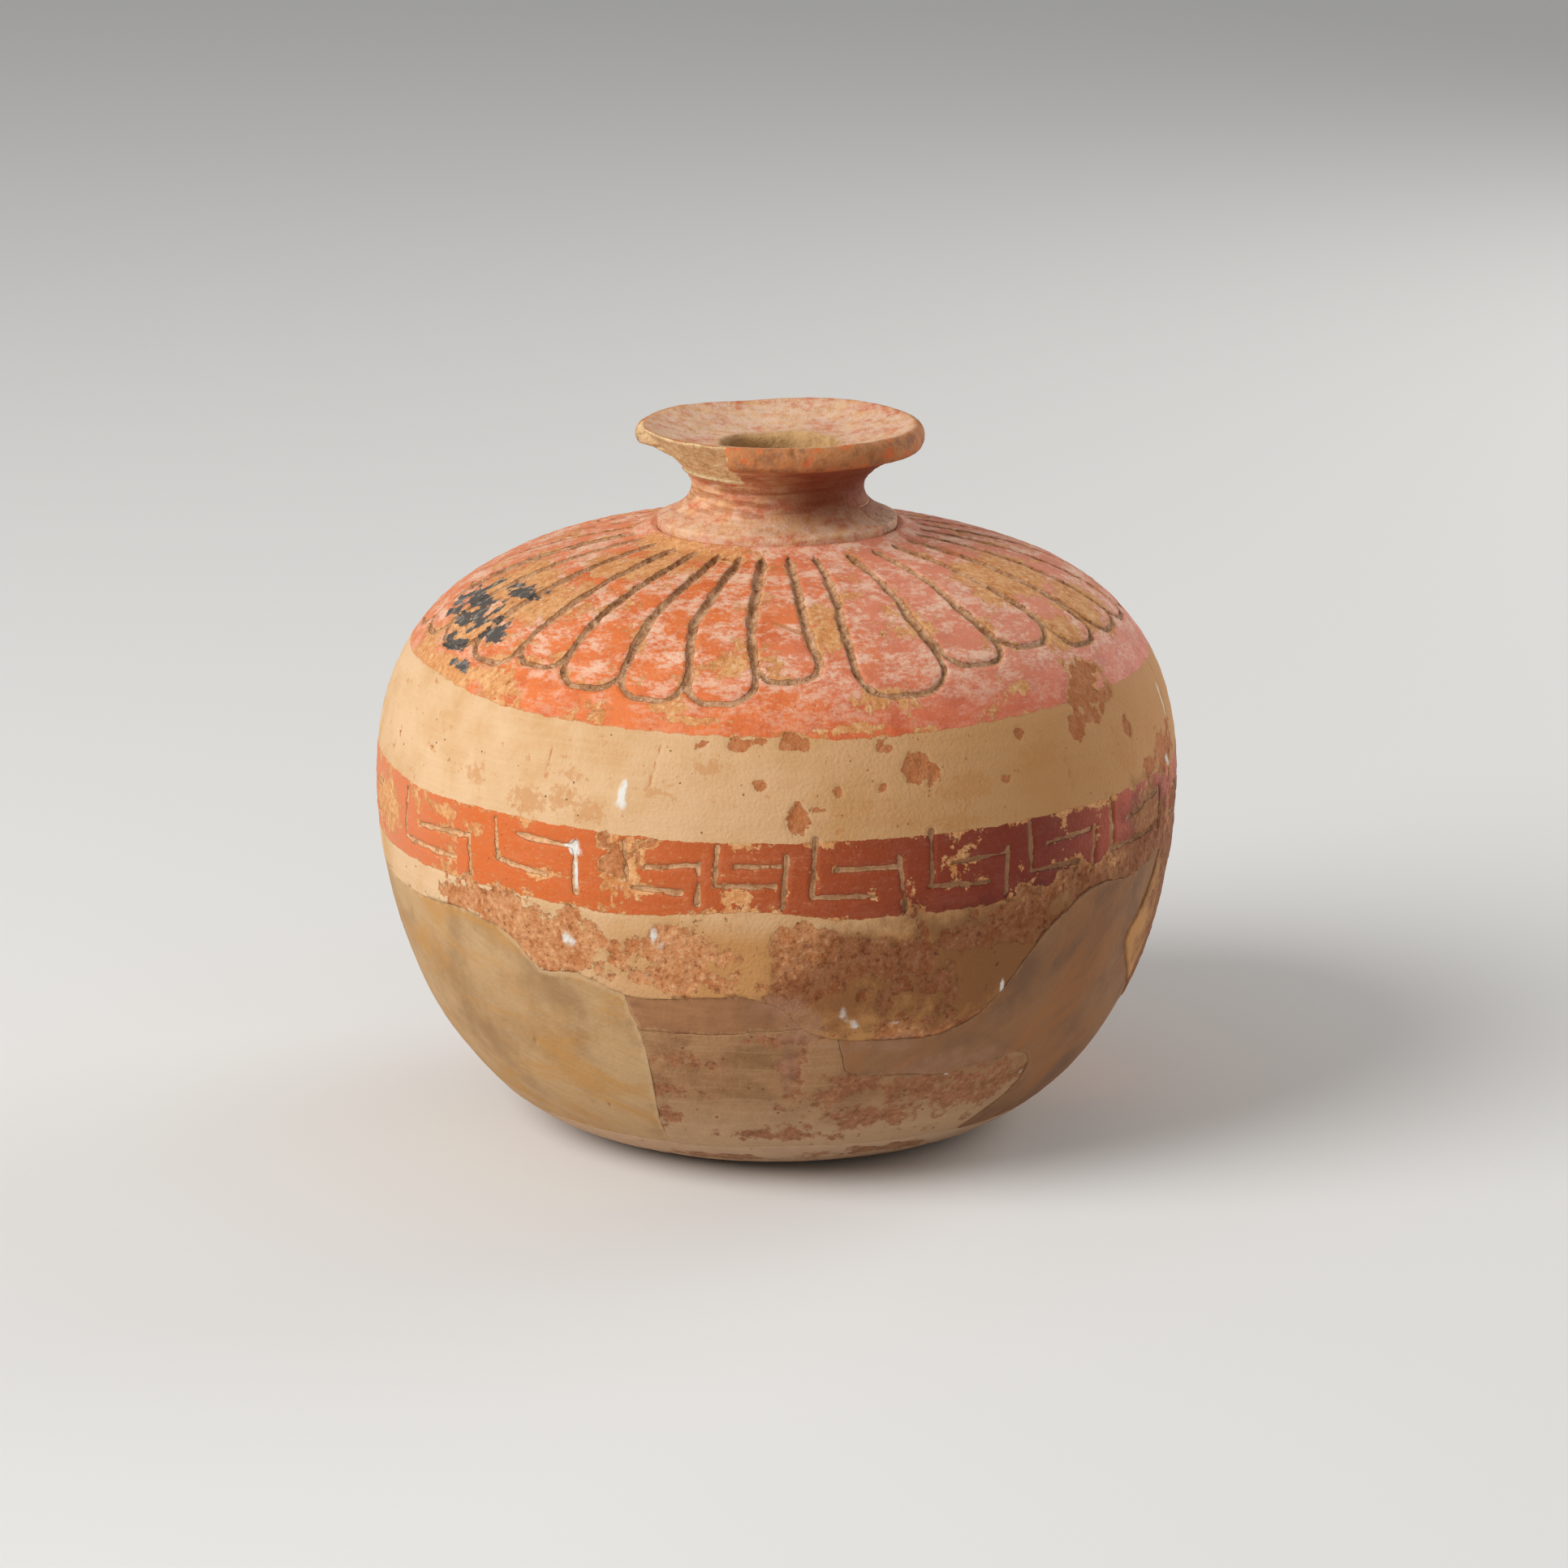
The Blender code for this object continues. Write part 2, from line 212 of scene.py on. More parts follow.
def onWall(radius, azimuth, height):   # azimuth 0 faces the front, and grows to the right
    turn = math.radians(azimuth)
    return Vector((radius * math.sin(turn), -radius * math.cos(turn), height)) * mm


# Smooth value noise in plain numbers, so that one worn patch both shapes the mesh and colours it
def grain(points, size, seed):
    scaled = points / size
    cell = np.floor(scaled).astype(np.int64)
    part = scaled - cell
    part = part * part * (3 - 2 * part)
    total = np.zeros(len(points))
    for corner in range(8):
        step = np.array([corner & 1, corner >> 1 & 1, corner >> 2 & 1])
        key = (cell + step) @ np.array([73856093, 19349663, 83492791]) + seed * 2654435761
        key = (key & 0xFFFFFFFF).astype(np.uint64)
        key = (key ^ key >> np.uint64(15)) * np.uint64(2246822519) & np.uint64(0xFFFFFFFF)
        key = (key ^ key >> np.uint64(13)) * np.uint64(3266489917) & np.uint64(0xFFFFFFFF)
        value = (key ^ key >> np.uint64(16)).astype(float) / 0xFFFFFFFF
        total += value * np.prod(np.where(step, part, 1 - part), axis=1)
    return total * 2 - 1


def lumps(points, size, seed, octaves=3):
    total = np.zeros(len(points))
    for octave in range(octaves):
        total += grain(points, size / 2 ** octave, seed + octave) / 2 ** octave
    return total / (2 - 2 ** (1 - octaves))


def ramp(value, low, high):
    share = np.clip((value - low) / (high - low), 0, 1)
    return share * share * (3 - 2 * share)


# Break lines on the wall, as azimuth and level: level 0 is the foot, 1 the belly, 2 the seat, 3 the hole
leftMeeting = (-110, 0.80)
rightMeeting = (71, 0.88)
fillMeeting = (-22, 0.636)
stripCorner = (-20.6, 0.526)
stripTip = (4, 0.553)
lobeTop = (9, 0.518)
footLeft = (-21.5, 0.122)
footRight = (39, 0.122)
footBackRight = (95, 0.126)
footBackLeft = (-112, 0.122)
breaks = {
    "front_lower": [
        leftMeeting, (-95, 0.80), (-80, 0.793), (-62, 0.79), (-50, 0.80), (-43, 0.78), (-40, 0.752),
        (-37, 0.695), (-35, 0.673), (-30, 0.681), (-27, 0.671), fillMeeting, (-17, 0.634), (-8, 0.65),
        (-3, 0.648), (1, 0.614), stripTip, lobeTop, (14, 0.508), (20.5, 0.50), (26, 0.512),
        (30.5, 0.549), (35, 0.636), (38, 0.711), (41.5, 0.78), (47, 0.846), (53, 0.866), (60, 0.852),
        rightMeeting,
    ],
    "strip_lower": [stripCorner, (-14, 0.528), (-7, 0.533), (-3, 0.545), (1, 0.547), stripTip],
    "left_upright": [
        fillMeeting, (-21.5, 0.58), stripCorner, (-20, 0.447), (-20.2, 0.325), (-21, 0.224), footLeft,
    ],
    "right_lobe": [
        lobeTop, (9.8, 0.463), (11.5, 0.402), (20, 0.384), (28, 0.368), (34, 0.384), (40, 0.392),
        (43.5, 0.378), (45.7, 0.335), (46, 0.285), (44.5, 0.23), (41.5, 0.177), footRight,
    ],
    "foot_ring": [
        footBackLeft, (-70, 0.134), footLeft, (8, 0.136), footRight, (66, 0.11), footBackRight,
        (140, 0.138), (190, 0.118), (225, 0.134), (footBackLeft[0] + 360, footBackLeft[1]),
    ],
    "right_fill_back": [
        rightMeeting, (66, 0.732), (62.5, 0.657), (64.5, 0.589), (67.6, 0.535), (72, 0.467), (77, 0.41),
        (80, 0.31), (89, 0.22), footBackRight,
    ],
    "left_fill_back": [leftMeeting, (-113, 0.61), (-109, 0.407), footBackLeft],
    "left_shoulder": [(-116, 3), (-116, 2), (-118, 1.71), (-112, 1.353), (-117, 1.077), leftMeeting],
    "right_shoulder": [
        (69, 3), (70, 2), (72, 1.85), (78, 1.573), (80, 1.435), (78, 1.242), (74, 1.077), (72, 0.955),
        rightMeeting,
    ],
}
crack = {"width": 0.05, "reach": 2.0, "samples": 5, "jag": 0.22, "jagSize": 1.6}   # mm


def wallAt(level):   # outer surface point and outward direction in the half plane
    if level >= 2:
        inward = (level - 2) * (jar["collarRadius"] - jar["holeRadius"] + crack["reach"])
        return np.array([jar["collarRadius"] - inward, jar["seatHeight"]]), np.array([0.0, 1.0])
    height = level * jar["bellyHeight"]
    if level > 1:
        height = jar["bellyHeight"] + (level - 1) * (jar["seatHeight"] - jar["bellyHeight"])
    point = np.array([curveAt(height, outerCurve[:, 0]), height])
    return point, pointsAlong([height], outerCurve[:, 1], outwardCurve)[0]


def smoothLine(points, closed):
    points = [np.array(p, float) for p in points]
    lap = np.array([360.0, 0])
    ahead = points[-2] - lap if closed else points[0] * 2 - points[1]
    beyond = points[1] + lap if closed else points[-1] * 2 - points[-2]
    guides = [ahead] + points + [beyond]
    line = []
    for a, b, c, d in zip(guides, guides[1:], guides[2:], guides[3:]):
        line += list(bezier(b, b + (c - a) / 6, c - (d - b) / 6, c, crack["samples"])[:-1])
    return line if closed else line + points[-1:]


breakTrace = []   # points along every break, for the wear beside them


def breakRibbon(name, points):
    closed = points[-1][0] - points[0][0] == 360
    line = smoothLine(points, closed)
    bm = bmesh.new()
    rungs = []
    for i, (azimuth, level) in enumerate(line):
        point, outward = wallAt(level)
        spot = onWall(point[0], azimuth, point[1])
        breakTrace.append(spot)
        if 0 < i % crack["samples"]:   # meeting points stay where they are
            jag = crack["jag"] * grain(np.array([spot]) / mm, crack["jagSize"], 5)[0]
            point = point + np.array([-outward[1], outward[0]]) * jag
        ends = (point + outward * crack["reach"], point - outward * (jar["wall"] + crack["reach"]))
        rungs.append([bm.verts.new(onWall(p[0], azimuth, p[1])) for p in ends])
    for here, there in zip(rungs, rungs[1:] + rungs[:1] if closed else rungs[1:]):
        bm.faces.new((here[0], here[1], there[1], there[0]))
    ribbon = meshObject(name, bm)
    width = ribbon.modifiers.new("width", "SOLIDIFY")
    width.thickness = crack["width"] * mm
    width.offset = 0
    width.use_even_offset = True
    ribbon.modifiers.new("facets", "TRIANGULATE")
    return ribbon


def brokenWall():
    wall = turned("wall", wallSection(), jar["columns"], False)
    for name, points in breaks.items():
        cutBy(wall, breakRibbon(name, points), "DIFFERENCE")
    before = set(bpy.context.scene.objects)
    bpy.ops.object.select_all(action="DESELECT")
    wall.select_set(True)
    bpy.context.view_layer.objects.active = wall
    bpy.ops.mesh.separate(type="LOOSE")
    return [wall] + [o for o in bpy.context.scene.objects if o not in before]


# A point on each piece of the wall, with the node it stands for and its finish
wallPieces = {
    "frontBodySherd": {"node": "front_body_sherd", "slot": "slipped_clay", "spot": (-10, 1.3)},
    "backBodySherd": {"node": "back_body_sherd", "slot": "slipped_clay_back", "spot": (160, 1.0)},
    "lowerFrontSherd": {"node": "lower_front_sherd", "slot": "bare_clay", "spot": (10, 0.28)},
    "baseSherd": {"node": "base_sherd", "slot": "bare_clay_base", "spot": (0, 0.0)},
    "leftFill": {"node": "left_fill", "slot": "ochre_fill", "spot": (-60, 0.45)},
    "centreFill": {"node": "centre_fill", "slot": "brown_fill", "spot": (-12, 0.585)},
    "rightFill": {"node": "right_fill", "slot": "olive_fill", "spot": (52, 0.6)},
}


def sortPieces(loose):
    trees = [BVHTree.FromPolygons([v.co for v in o.data.vertices], [p.vertices for p in o.data.polygons])
             for o in loose]
    found = {}
    for name, facts in wallPieces.items():
        point = wallAt(facts["spot"][1])[0]
        target = onWall(point[0], facts["spot"][0], point[1])
        nearest = min(range(len(loose)), key=lambda i: trees[i].find_nearest(target)[3])
        piece = loose[nearest]
        piece.name = name
        piece.data.name = name
        found[name] = piece
    for piece in loose:
        if piece not in found.values():
            bpy.data.objects.remove(piece, do_unlink=True)
    return found


pieces = sortPieces(brokenWall())
print("wall broken into", len(pieces), "pieces", [len(p.data.polygons) for p in pieces.values()])


def pointsOf(piece):   # in mm, with their radius and azimuth
    flat = np.empty(len(piece.data.vertices) * 3, np.float32)
    piece.data.vertices.foreach_get("co", flat)
    points = flat.reshape(-1, 3).astype(float) / mm
    return points, np.hypot(points[:, 0], points[:, 1]), np.degrees(np.arctan2(points[:, 0], -points[:, 1]))


def movePoints(piece, points):
    piece.data.vertices.foreach_set("co", (points * mm).astype(np.float32).ravel())
    piece.data.update()


# Where a piece's points lie on the wall, which are outside and how near a break they are
def surfaceOf(piece):
    points, radius, azimuth = pointsOf(piece)
    if piece.name == "backBodySherd":
        azimuth = np.where(azimuth < 0, azimuth + 360, azimuth)
    sight = np.arctan2(points[:, 2] - jar["centreHeight"], radius)
    curveSight = np.arctan2(outerCurve[:, 1] - jar["centreHeight"], outerCurve[:, 0])
    away = np.hypot(radius, points[:, 2] - jar["centreHeight"])
    curveAway = np.hypot(outerCurve[:, 0], outerCurve[:, 1] - jar["centreHeight"])
    arc = np.interp(sight, curveSight, arcAlong)
    outer = np.abs(away - np.interp(sight, curveSight, curveAway)) < jar["skin"]
    outer &= sight > curveSight[0]
    outward = pointsAlong(arc, arcAlong, outwardCurve)
    tree = KDTree(len(breakTrace))
    for i, spot in enumerate(breakTrace):
        tree.insert(spot, i)
    tree.balance()
    edge = np.full(len(points), farAway)
    for i in np.flatnonzero(outer):
        edge[i] = min(farAway, tree.find(points[i] * mm)[2] / mm)
    return {"points": points, "radius": radius, "azimuth": azimuth, "arc": arc, "height": points[:, 2],
            "outer": outer, "outward": outward, "edge": edge,
            "wobble": np.array([lumps(points, 1.8, 151), lumps(points, 1.8, 157)])}


def moveOut(piece, place, distance):   # push outer points along the wall's outward direction, in mm
    distance = np.where(place["outer"], distance, 0)
    turn = np.radians(place["azimuth"])
    points = place["points"].copy()
    points[:, 0] += distance * place["outward"][:, 0] * np.sin(turn)
    points[:, 1] -= distance * place["outward"][:, 0] * np.cos(turn)
    points[:, 2] += distance * place["outward"][:, 1]
    movePoints(piece, points)


def keepField(piece, name, values):
    field = piece.data.attributes.new(name, "FLOAT", "POINT")
    field.data.foreach_set("value", values.astype(np.float32))


def keepPlace(piece, place):
    keepField(piece, "edge", place["edge"])
    keepField(piece, "azimuth", place["azimuth"])
    keepField(piece, "arc", place["arc"])
    keepField(piece, "outside", place["outer"])
    keepField(piece, "smear", spots(place, smearPatches) + 0.4 * lumps(place["points"], 3.0, 163))


def refine(piece):   # twice as many rows and columns
    bm = bmesh.new()
    bm.from_mesh(piece.data)
    bmesh.ops.subdivide_edges(bm, edges=bm.edges, cuts=1, use_grid_fill=True)
    bm.to_mesh(piece.data)
    bm.free()


# Incised tongues: azimuths of the left edge at three heights, of the right edge, and the end's height
tongues = [
    (-83.5, -82, -81, -73, -71.5, -71, 72.7),
    (-72.5, -71, -70.5, -59.8, -58.3, -58.5, 72.9),
    (-59.3, -58, -58, -47.8, -46.6, -45.8, 72.8),
    (-47.6, -46.6, -45.8, -37, -37, -34.5, 73.7),
    (-36.6, -37, -34.5, -25.6, -25.7, -23.6, 72.2),
    (-25.4, -25.7, -23.6, -14.5, -16.4, -14.2, 71.7),
    (-14.2, -16.4, -14.2, -3.4, -5, -5.4, 71.6),
    (-3.2, -5, -5.4, 7.5, 5.7, 4.8, 74.2),
    (13, 12.8, 15.5, 28.2, 27.4, 29.2, 72.0),
    (29.5, 27.6, 29.2, 41, 39.5, 42.0, 74.4),
    (42, 39.7, 42.0, 54.5, 53.7, 54, 75.3),
    (55.5, 54.5, 54.5, 66, 66, 66, 73.8),
    (68, 67, 67, 79.5, 79, 79, 73.9),
]
tongueRound = {"from": 79.5, "to": 276.5, "count": 17, "wander": 0.7, "slant": (0, 0.6, 0.3), "end": 73.2,
               "endWander": 1.2, "seed": 11}
tongueCut = {"heights": (75, 80, 85), "depth": 0.62, "cornerShare": 0.72, "wander": 0.22, "wanderSize": 4.0,
             "halfWidth": [(72.5, 0.40), (75.5, 0.46), (79.5, 0.66), (85.0, 0.62)],   # height, mm
             "topRadius": 20.6, "fadeIn": 0.7}


def allTongues():   # those the photo shows, and more of the same round the back
    chance = np.random.default_rng(tongueRound["seed"])
    edges = np.linspace(tongueRound["from"], tongueRound["to"], tongueRound["count"] + 1)
    edges[1:-1] += chance.uniform(-1, 1, len(edges) - 2) * tongueRound["wander"]
    around = []
    for left, right in zip(edges, edges[1:]):
        end = tongueRound["end"] + chance.uniform(-1, 1) * tongueRound["endWander"]
        around.append(tuple(edge - s for edge in (left, right) for s in tongueRound["slant"]) + (end,))
    turnedBack = [tuple(v - 360 for v in t[:6]) + t[6:] for t in around[-5:]]   # for azimuths below -83
    turnedOn = [tuple(v + 360 for v in t[:6]) + t[6:] for t in tongues[:1]]
    return turnedBack + tongues + around + turnedOn


def tongueDistance(place):   # from the middle of the nearest groove, in groove half widths
    azimuth, height, arc = place["azimuth"], place["height"], place["arc"]
    perDegree = place["radius"] * math.pi / 180
    wander = tongueCut["wander"] * lumps(place["points"], tongueCut["wanderSize"], 31, 3)
    nearest = np.full(len(azimuth), farAway)
    for tongue in allTongues():
        left = np.interp(height, tongueCut["heights"], tongue[:3])
        right = np.interp(height, tongueCut["heights"], tongue[3:6])
        half = (right - left) / 2 * perDegree
        across = np.abs(azimuth - (left + right) / 2) * perDegree
        corner = tongueCut["cornerShare"] * half
        sideways = across - (half - corner)
        below = corner - (arc - curveAt(tongue[6], arcAlong))
        rounded = np.hypot(np.maximum(sideways, 0), np.maximum(below, 0))
        inside = np.minimum(np.maximum(sideways, below), 0)
        gap = np.abs(rounded + inside - corner + wander)
        nearest = np.minimum(nearest, np.where(across < half + 4, gap, farAway))
    width = np.interp(height, *np.array(tongueCut["halfWidth"]).T)
    width = width * (1 + 0.45 * lumps(place["points"], 1.6, 33, 2))
    faded = np.maximum(tongueCut["topRadius"] - place["radius"], 0) * tongueCut["fadeIn"]
    return np.minimum((nearest + faded) / width, farAway)


# Incised key pattern round the belly: strokes from azimuth, height to azimuth, height
keyStrokes = [
    (-64, 53.6, -64.5, 46.5), (-64.5, 46.5, -50.5, 46.6), (-59.5, 49.4, -47.5, 50.4),
    (-47.2, 50.6, -47, 45), (-42, 53.8, -41.4, 48.2), (-41.4, 48.2, -32.5, 47.3),
    (-38, 52.3, -28.5, 51.9), (-28.2, 52.4, -28.2, 45.6), (-21, 53.4, -20.4, 48),
    (-19.8, 47.3, -13, 46.9), (-17.8, 50.1, -10.8, 50.9), (-10.4, 51.2, -10.6, 45.6),
    (-7.9, 53.6, -8.3, 48.1), (-8.3, 48.1, -0.2, 48.2), (-5.6, 50.9, 0.4, 51), (1.4, 52.4, 0.9, 45.2),
    (5.2, 54.6, 4.8, 46.6), (4.8, 46.6, 13.2, 46.4), (8, 50.3, 16.6, 50.3), (16.8, 51.6, 17.6, 44),
    (21.3, 54.7, 21.5, 47.3), (21, 47.2, 30.2, 46.7), (24.4, 50, 32.8, 50.5), (33.2, 51.2, 33, 44.5),
    (37, 54, 37.2, 47.2), (37.2, 47.2, 46.2, 47), (40.2, 50.6, 48.8, 51), (49.8, 51.2, 49.4, 45),
    (53.7, 54.2, 54, 47), (54, 47, 66, 47.2), (58, 50.7, 68.6, 52.3), (69.5, 52.4, 69, 45.4),
]
keyRound = {"from": 75.0, "to": 287.0, "count": 14, "wander": 0.6, "seed": 23}
keyCut = {"halfWidth": 0.35, "depth": 0.48, "wander": 0.2, "wanderSize": 3.0}
scratchStrokes = [
    (-17.8, 60.8, -16.6, 66.4), (-33.8, 60.6, -33.4, 64.4), (45.4, 57.4, 44.6, 61.5),
    (-0.6, 80.2, 5, 79.1), (5, 79.1, 6, 77.6), (67.5, 83.4, 70.5, 84.6), (70.5, 84.6, 69.5, 85.3),
    (120, 60, 122, 65.5), (196, 57.5, 195, 62), (228, 79, 233, 80.5),
]


def allStrokes():   # the front's strokes, then one more hook at each step round the back
    chance = np.random.default_rng(keyRound["seed"])
    strokes = list(keyStrokes)
    step = (keyRound["to"] - keyRound["from"]) / keyRound["count"]
    for i in range(keyRound["count"]):
        a = keyRound["from"] + i * step
        j = chance.uniform(-1, 1, 8) * keyRound["wander"]
        strokes.append((a + j[0], 53.8, a + j[1], 47.0))
        strokes.append((a + j[1], 47.0, a + 9 + j[2], 46.8 + j[3] / 2))
        strokes.append((a + 3 + j[4], 50.4, a + 11.6 + j[5], 50.8 + j[6] / 2))
        strokes.append((a + 12 + j[5], 51.4, a + 12 + j[7], 45.0))
    return strokes + [(a0 - 360, z0, a1 - 360, z1) for a0, z0, a1, z1 in strokes if a0 > 230]


def strokeDistance(place, strokes):   # mm from the nearest stroke
    perDegree = place["radius"] * math.pi / 180
    nearest = np.full(len(place["azimuth"]), farAway)
    for a0, z0, a1, z1 in strokes:
        run = np.array([(a1 - a0) * perDegree, np.full(len(perDegree), z1 - z0)])
        across = (place["azimuth"] - a0) * perDegree
        up = place["height"] - z0
        share = np.clip((across * run[0] + up * run[1]) / (run ** 2).sum(axis=0), 0, 1)
        nearest = np.minimum(nearest, np.hypot(across - share * run[0], up - share * run[1]))
    wander = keyCut["wander"] * lumps(place["points"], keyCut["wanderSize"], 37, 3)
    return np.minimum(np.abs(nearest + wander), farAway)


# Painted bands: the lower edge of the red shoulder, and both edges of the red belt, as azimuth and height
redShoulder = [
    (-118, 69.4), (-90, 69.6), (-65, 69.5), (-45, 68.3), (-20, 67.9), (0, 67.6), (12, 67.2), (30, 67.7),
    (48, 68.2), (80, 68.3), (150, 68.8), (200, 67.9), (250, 69.2),
]
beltTop = [
    (-118, 55.4), (-72, 55.2), (-60, 54.6), (-40, 54.8), (-20, 54.4), (-10, 54), (0, 54.2), (30, 54.4),
    (66, 54.8), (120, 54.3), (180, 54.9), (250, 55.3),
]
beltFoot = [
    (-118, 43.6), (-50, 43.9), (-40, 43.9), (-30, 43.6), (-22, 43.2), (-15, 43.6), (-8, 44.4), (-2, 44.6),
    (2, 44.3), (8, 43.3), (30, 43.4), (40, 44), (66, 43.8), (120, 43.4), (180, 44.2), (250, 43.7),
]


def redDistance(place):   # mm inside the red paint, negative outside it
    def edge(points):
        return np.interp(place["azimuth"], *np.array(points).T)
    belt = np.minimum(place["height"] - edge(beltFoot), edge(beltTop) - place["height"])
    return np.maximum(place["height"] - edge(redShoulder), belt)


# Worn places: azimuth, height, half width and half height in mm, and how strongly the slip is gone there
lostSlip = [
    (19.4, 62.9, 2, 2, 1), (21.3, 62.5, 1.6, 1.8, 1), (3, 57.2, 1.5, 1.7, 0.9),
    (2.2, 66.8, 1.7, 1.3, 0.7), (15, 66.2, 1.5, 1.1, 0.8), (51.5, 68.2, 3.4, 3.4, 1),
    (48.5, 65.2, 1.9, 2, 1), (54.5, 70.6, 3.8, 2.4, 0.9), (57.5, 67.5, 2.4, 1.2, 0.8),
    (60.5, 63, 1.4, 1.2, 0.8), (-21.6, 50.6, 2, 2.2, 0.8), (-24, 53.4, 1, 1.4, 0.6),
    (-17.4, 53.4, 1.8, 1, 0.8), (66, 56.4, 2.4, 1.4, 0.9), (14.6, 61, 0.9, 0.7, 0.7),
    (8.4, 60.7, 0.7, 0.6, 0.6), (-2.2, 62, 1, 0.8, 0.6), (-5, 67, 2.4, 0.9, 0.6), (74, 57, 5, 3, 0.7),
    (-10.5, 66.6, 1.2, 0.6, 0.6), (37.2, 65.8, 0.8, 0.6, 0.7), (33.5, 60.6, 0.9, 0.7, 0.6),
    (5.4, 58.6, 1.2, 0.5, 0.7), (125, 62, 3.4, 2.2, 0.9), (158, 58, 2, 1.6, 0.9),
    (190, 64, 2.6, 1.6, 0.8), (222, 60, 4, 2.6, 0.8),
]
stainPatches = [
    (-9, 38, 9, 4.6, 1), (-36.5, 57.6, 3, 2.2, 0.9), (-31, 58.2, 3, 1.8, 0.9), (-26.5, 57, 3.2, 1.8, 0.9),
    (-29, 61.4, 2.8, 1, 0.8), (-46.5, 58.5, 2.2, 1.8, 0.7), (-16, 60.8, 2.4, 1.2, 0.7),
    (-10, 64, 3, 1.5, 0.6), (10, 58, 4, 1.2, 0.6), (28, 60, 6, 2, 0.7), (40, 62, 5, 2.5, 0.7),
    (58, 60, 6, 4, 0.9), (25, 55.6, 10, 1.2, 0.6), (72, 61, 7, 6, 1), (105, 62, 9, 4, 0.8),
    (150, 61, 10, 4, 0.7), (200, 60, 9, 3, 0.8), (235, 63, 9, 4, 0.7),
]
# Darker, greyer patches low on the body, most on the right and round the back
lowDarkeningPatches = [
    (28, 35, 24, 9, 1), (50, 40, 14, 6, 1), (8, 32, 9, 6, 0.8), (66, 46, 10, 9, 0.9),
    (84, 34, 14, 20, 1.5), (120, 30, 20, 14, 0.9), (40, 37, 18, 8, 1.2), (180, 28, 30, 14, 0.8),
    (230, 26, 20, 12, 0.8),
]
smearPatches = [
    (3.5, 27.5, 3.4, 4, 1), (2, 22, 1.6, 6, 0.8), (0, 31, 4, 2, 0.8), (14, 24, 9, 1.6, 0.7),
    (28, 20, 11, 2.4, 0.7),
]
bareZones = [
    (-33, 37.8, 15, 5.2, 1.15), (-45, 41.4, 9, 2.2, 0.9), (-13, 34.2, 11, 2.2, 0.85),
    (-12, 38.4, 7, 3, 0.5), (3.5, 39.6, 4.6, 3.6, 1.1), (4.5, 34.6, 5, 3.4, 1.05), (1, 31.4, 3.6, 2.2, 1),
    (17, 37.4, 9, 3, 0.5), (37, 40.6, 7.5, 3.6, 0.9), (27, 38.6, 7, 2, 0.6), (20, 33, 8, 3, 0.45),
    (48, 43.8, 7, 2.2, 1.1), (61, 44.6, 8, 2.4, 1.1), (80, 46, 9, 4, 0.8), (80, 36, 8, 14, 1),
    (110, 36, 16, 8, 0.8), (165, 40, 22, 6, 0.9), (215, 34, 18, 7, 0.8), (140, 24, 18, 8, 0.7),
    (235, 20, 12, 6, 0.7),
]
thinRed = [
    (-57, 80, 11, 6, 1), (-46, 83.5, 9, 4, 1), (-66, 75.6, 7, 4, 0.9), (-62, 70.5, 9, 1.8, 1.4),
    (-40, 85, 9, 3, 0.8), (62, 81.5, 10, 6, 1), (58, 76, 4.5, 3, 0.8), (16, 71.2, 6, 2.4, 0.8),
    (-49, 70.8, 3.4, 1.6, 0.9), (74, 77, 8, 5, 0.8), (12, 68.6, 5.5, 0.8, 1.1), (-12, 69.4, 5, 0.9, 0.7),
    (-21, 50, 3, 5.4, 0.8), (65, 48.6, 4, 4.4, 0.6), (-74, 50, 7, 6, 0.9), (-72, 80.5, 9, 6, 0.9),
    (-76, 72, 5, 3, 0.6), (130, 78, 14, 9, 0.8), (205, 74, 13, 7, 0.9), (232, 50, 9, 5, 0.7),
    (160, 48, 9, 4, 0.6), (9.6, 79, 2.4, 7, 0.7), (-16, 71, 3, 1.2, 0.7), (-8, 75.6, 2, 1.5, 0.6),
    (40, 71, 2, 1, 0.8), (-46, 51.6, 3, 1.2, 0.6), (-54, 52.8, 3.6, 0.9, 0.7), (-32, 47.6, 3, 1, 0.6),
]
plasterDabs = [
    (-21.4, 59.2, 1, 1.7, 1), (-20.9, 60.8, 0.5, 1.1, 1), (-28.1, 51.6, 1.2, 1.2, 1),
    (-28.2, 48.2, 0.42, 2.8, 1), (-29.4, 52, 1.2, 0.35, 0.8), (-16.9, 40.4, 0.7, 1.7, 0.5),
    (-16, 39.3, 1, 0.7, 0.4), (-30.2, 38.9, 0.8, 1.4, 0.5), (-29.4, 38.2, 0.9, 0.7, 0.4),
    (9.4, 29.4, 0.8, 1.3, 0.5), (11.2, 27.8, 0.9, 0.8, 0.45), (10.2, 28.6, 0.8, 0.6, 0.5),
    (17.4, 27.6, 1.1, 0.5, 0.3), (34, 31, 0.5, 1.5, 0.9), (53.4, 81.4, 0.45, 1.3, 0.9),
    (-18.6, 34.6, 0.5, 0.5, 0.5), (78, 63, 0.6, 3.5, 0.7), (75, 55, 0.8, 1.4, 0.6),
    (28, 18, 0.6, 0.35, 0.6), (45, 15, 0.6, 0.4, 0.6), (32, 10, 0.9, 0.4, 0.5), (128, 33, 1.4, 0.8, 0.6),
    (212, 47, 0.7, 1.8, 0.6),
]
sootPatch = [
    (-73, 77.4, 9, 3.6, 0.8), (-66.5, 76.4, 7.5, 3.2, 0.9), (-57, 75.6, 3.6, 1.8, 0.8),
    (-66, 73.4, 6, 1.6, 0.8), (-57.5, 71.5, 3.4, 1.2, 0.8), (-63, 79.6, 8, 1.8, 0.6),
]


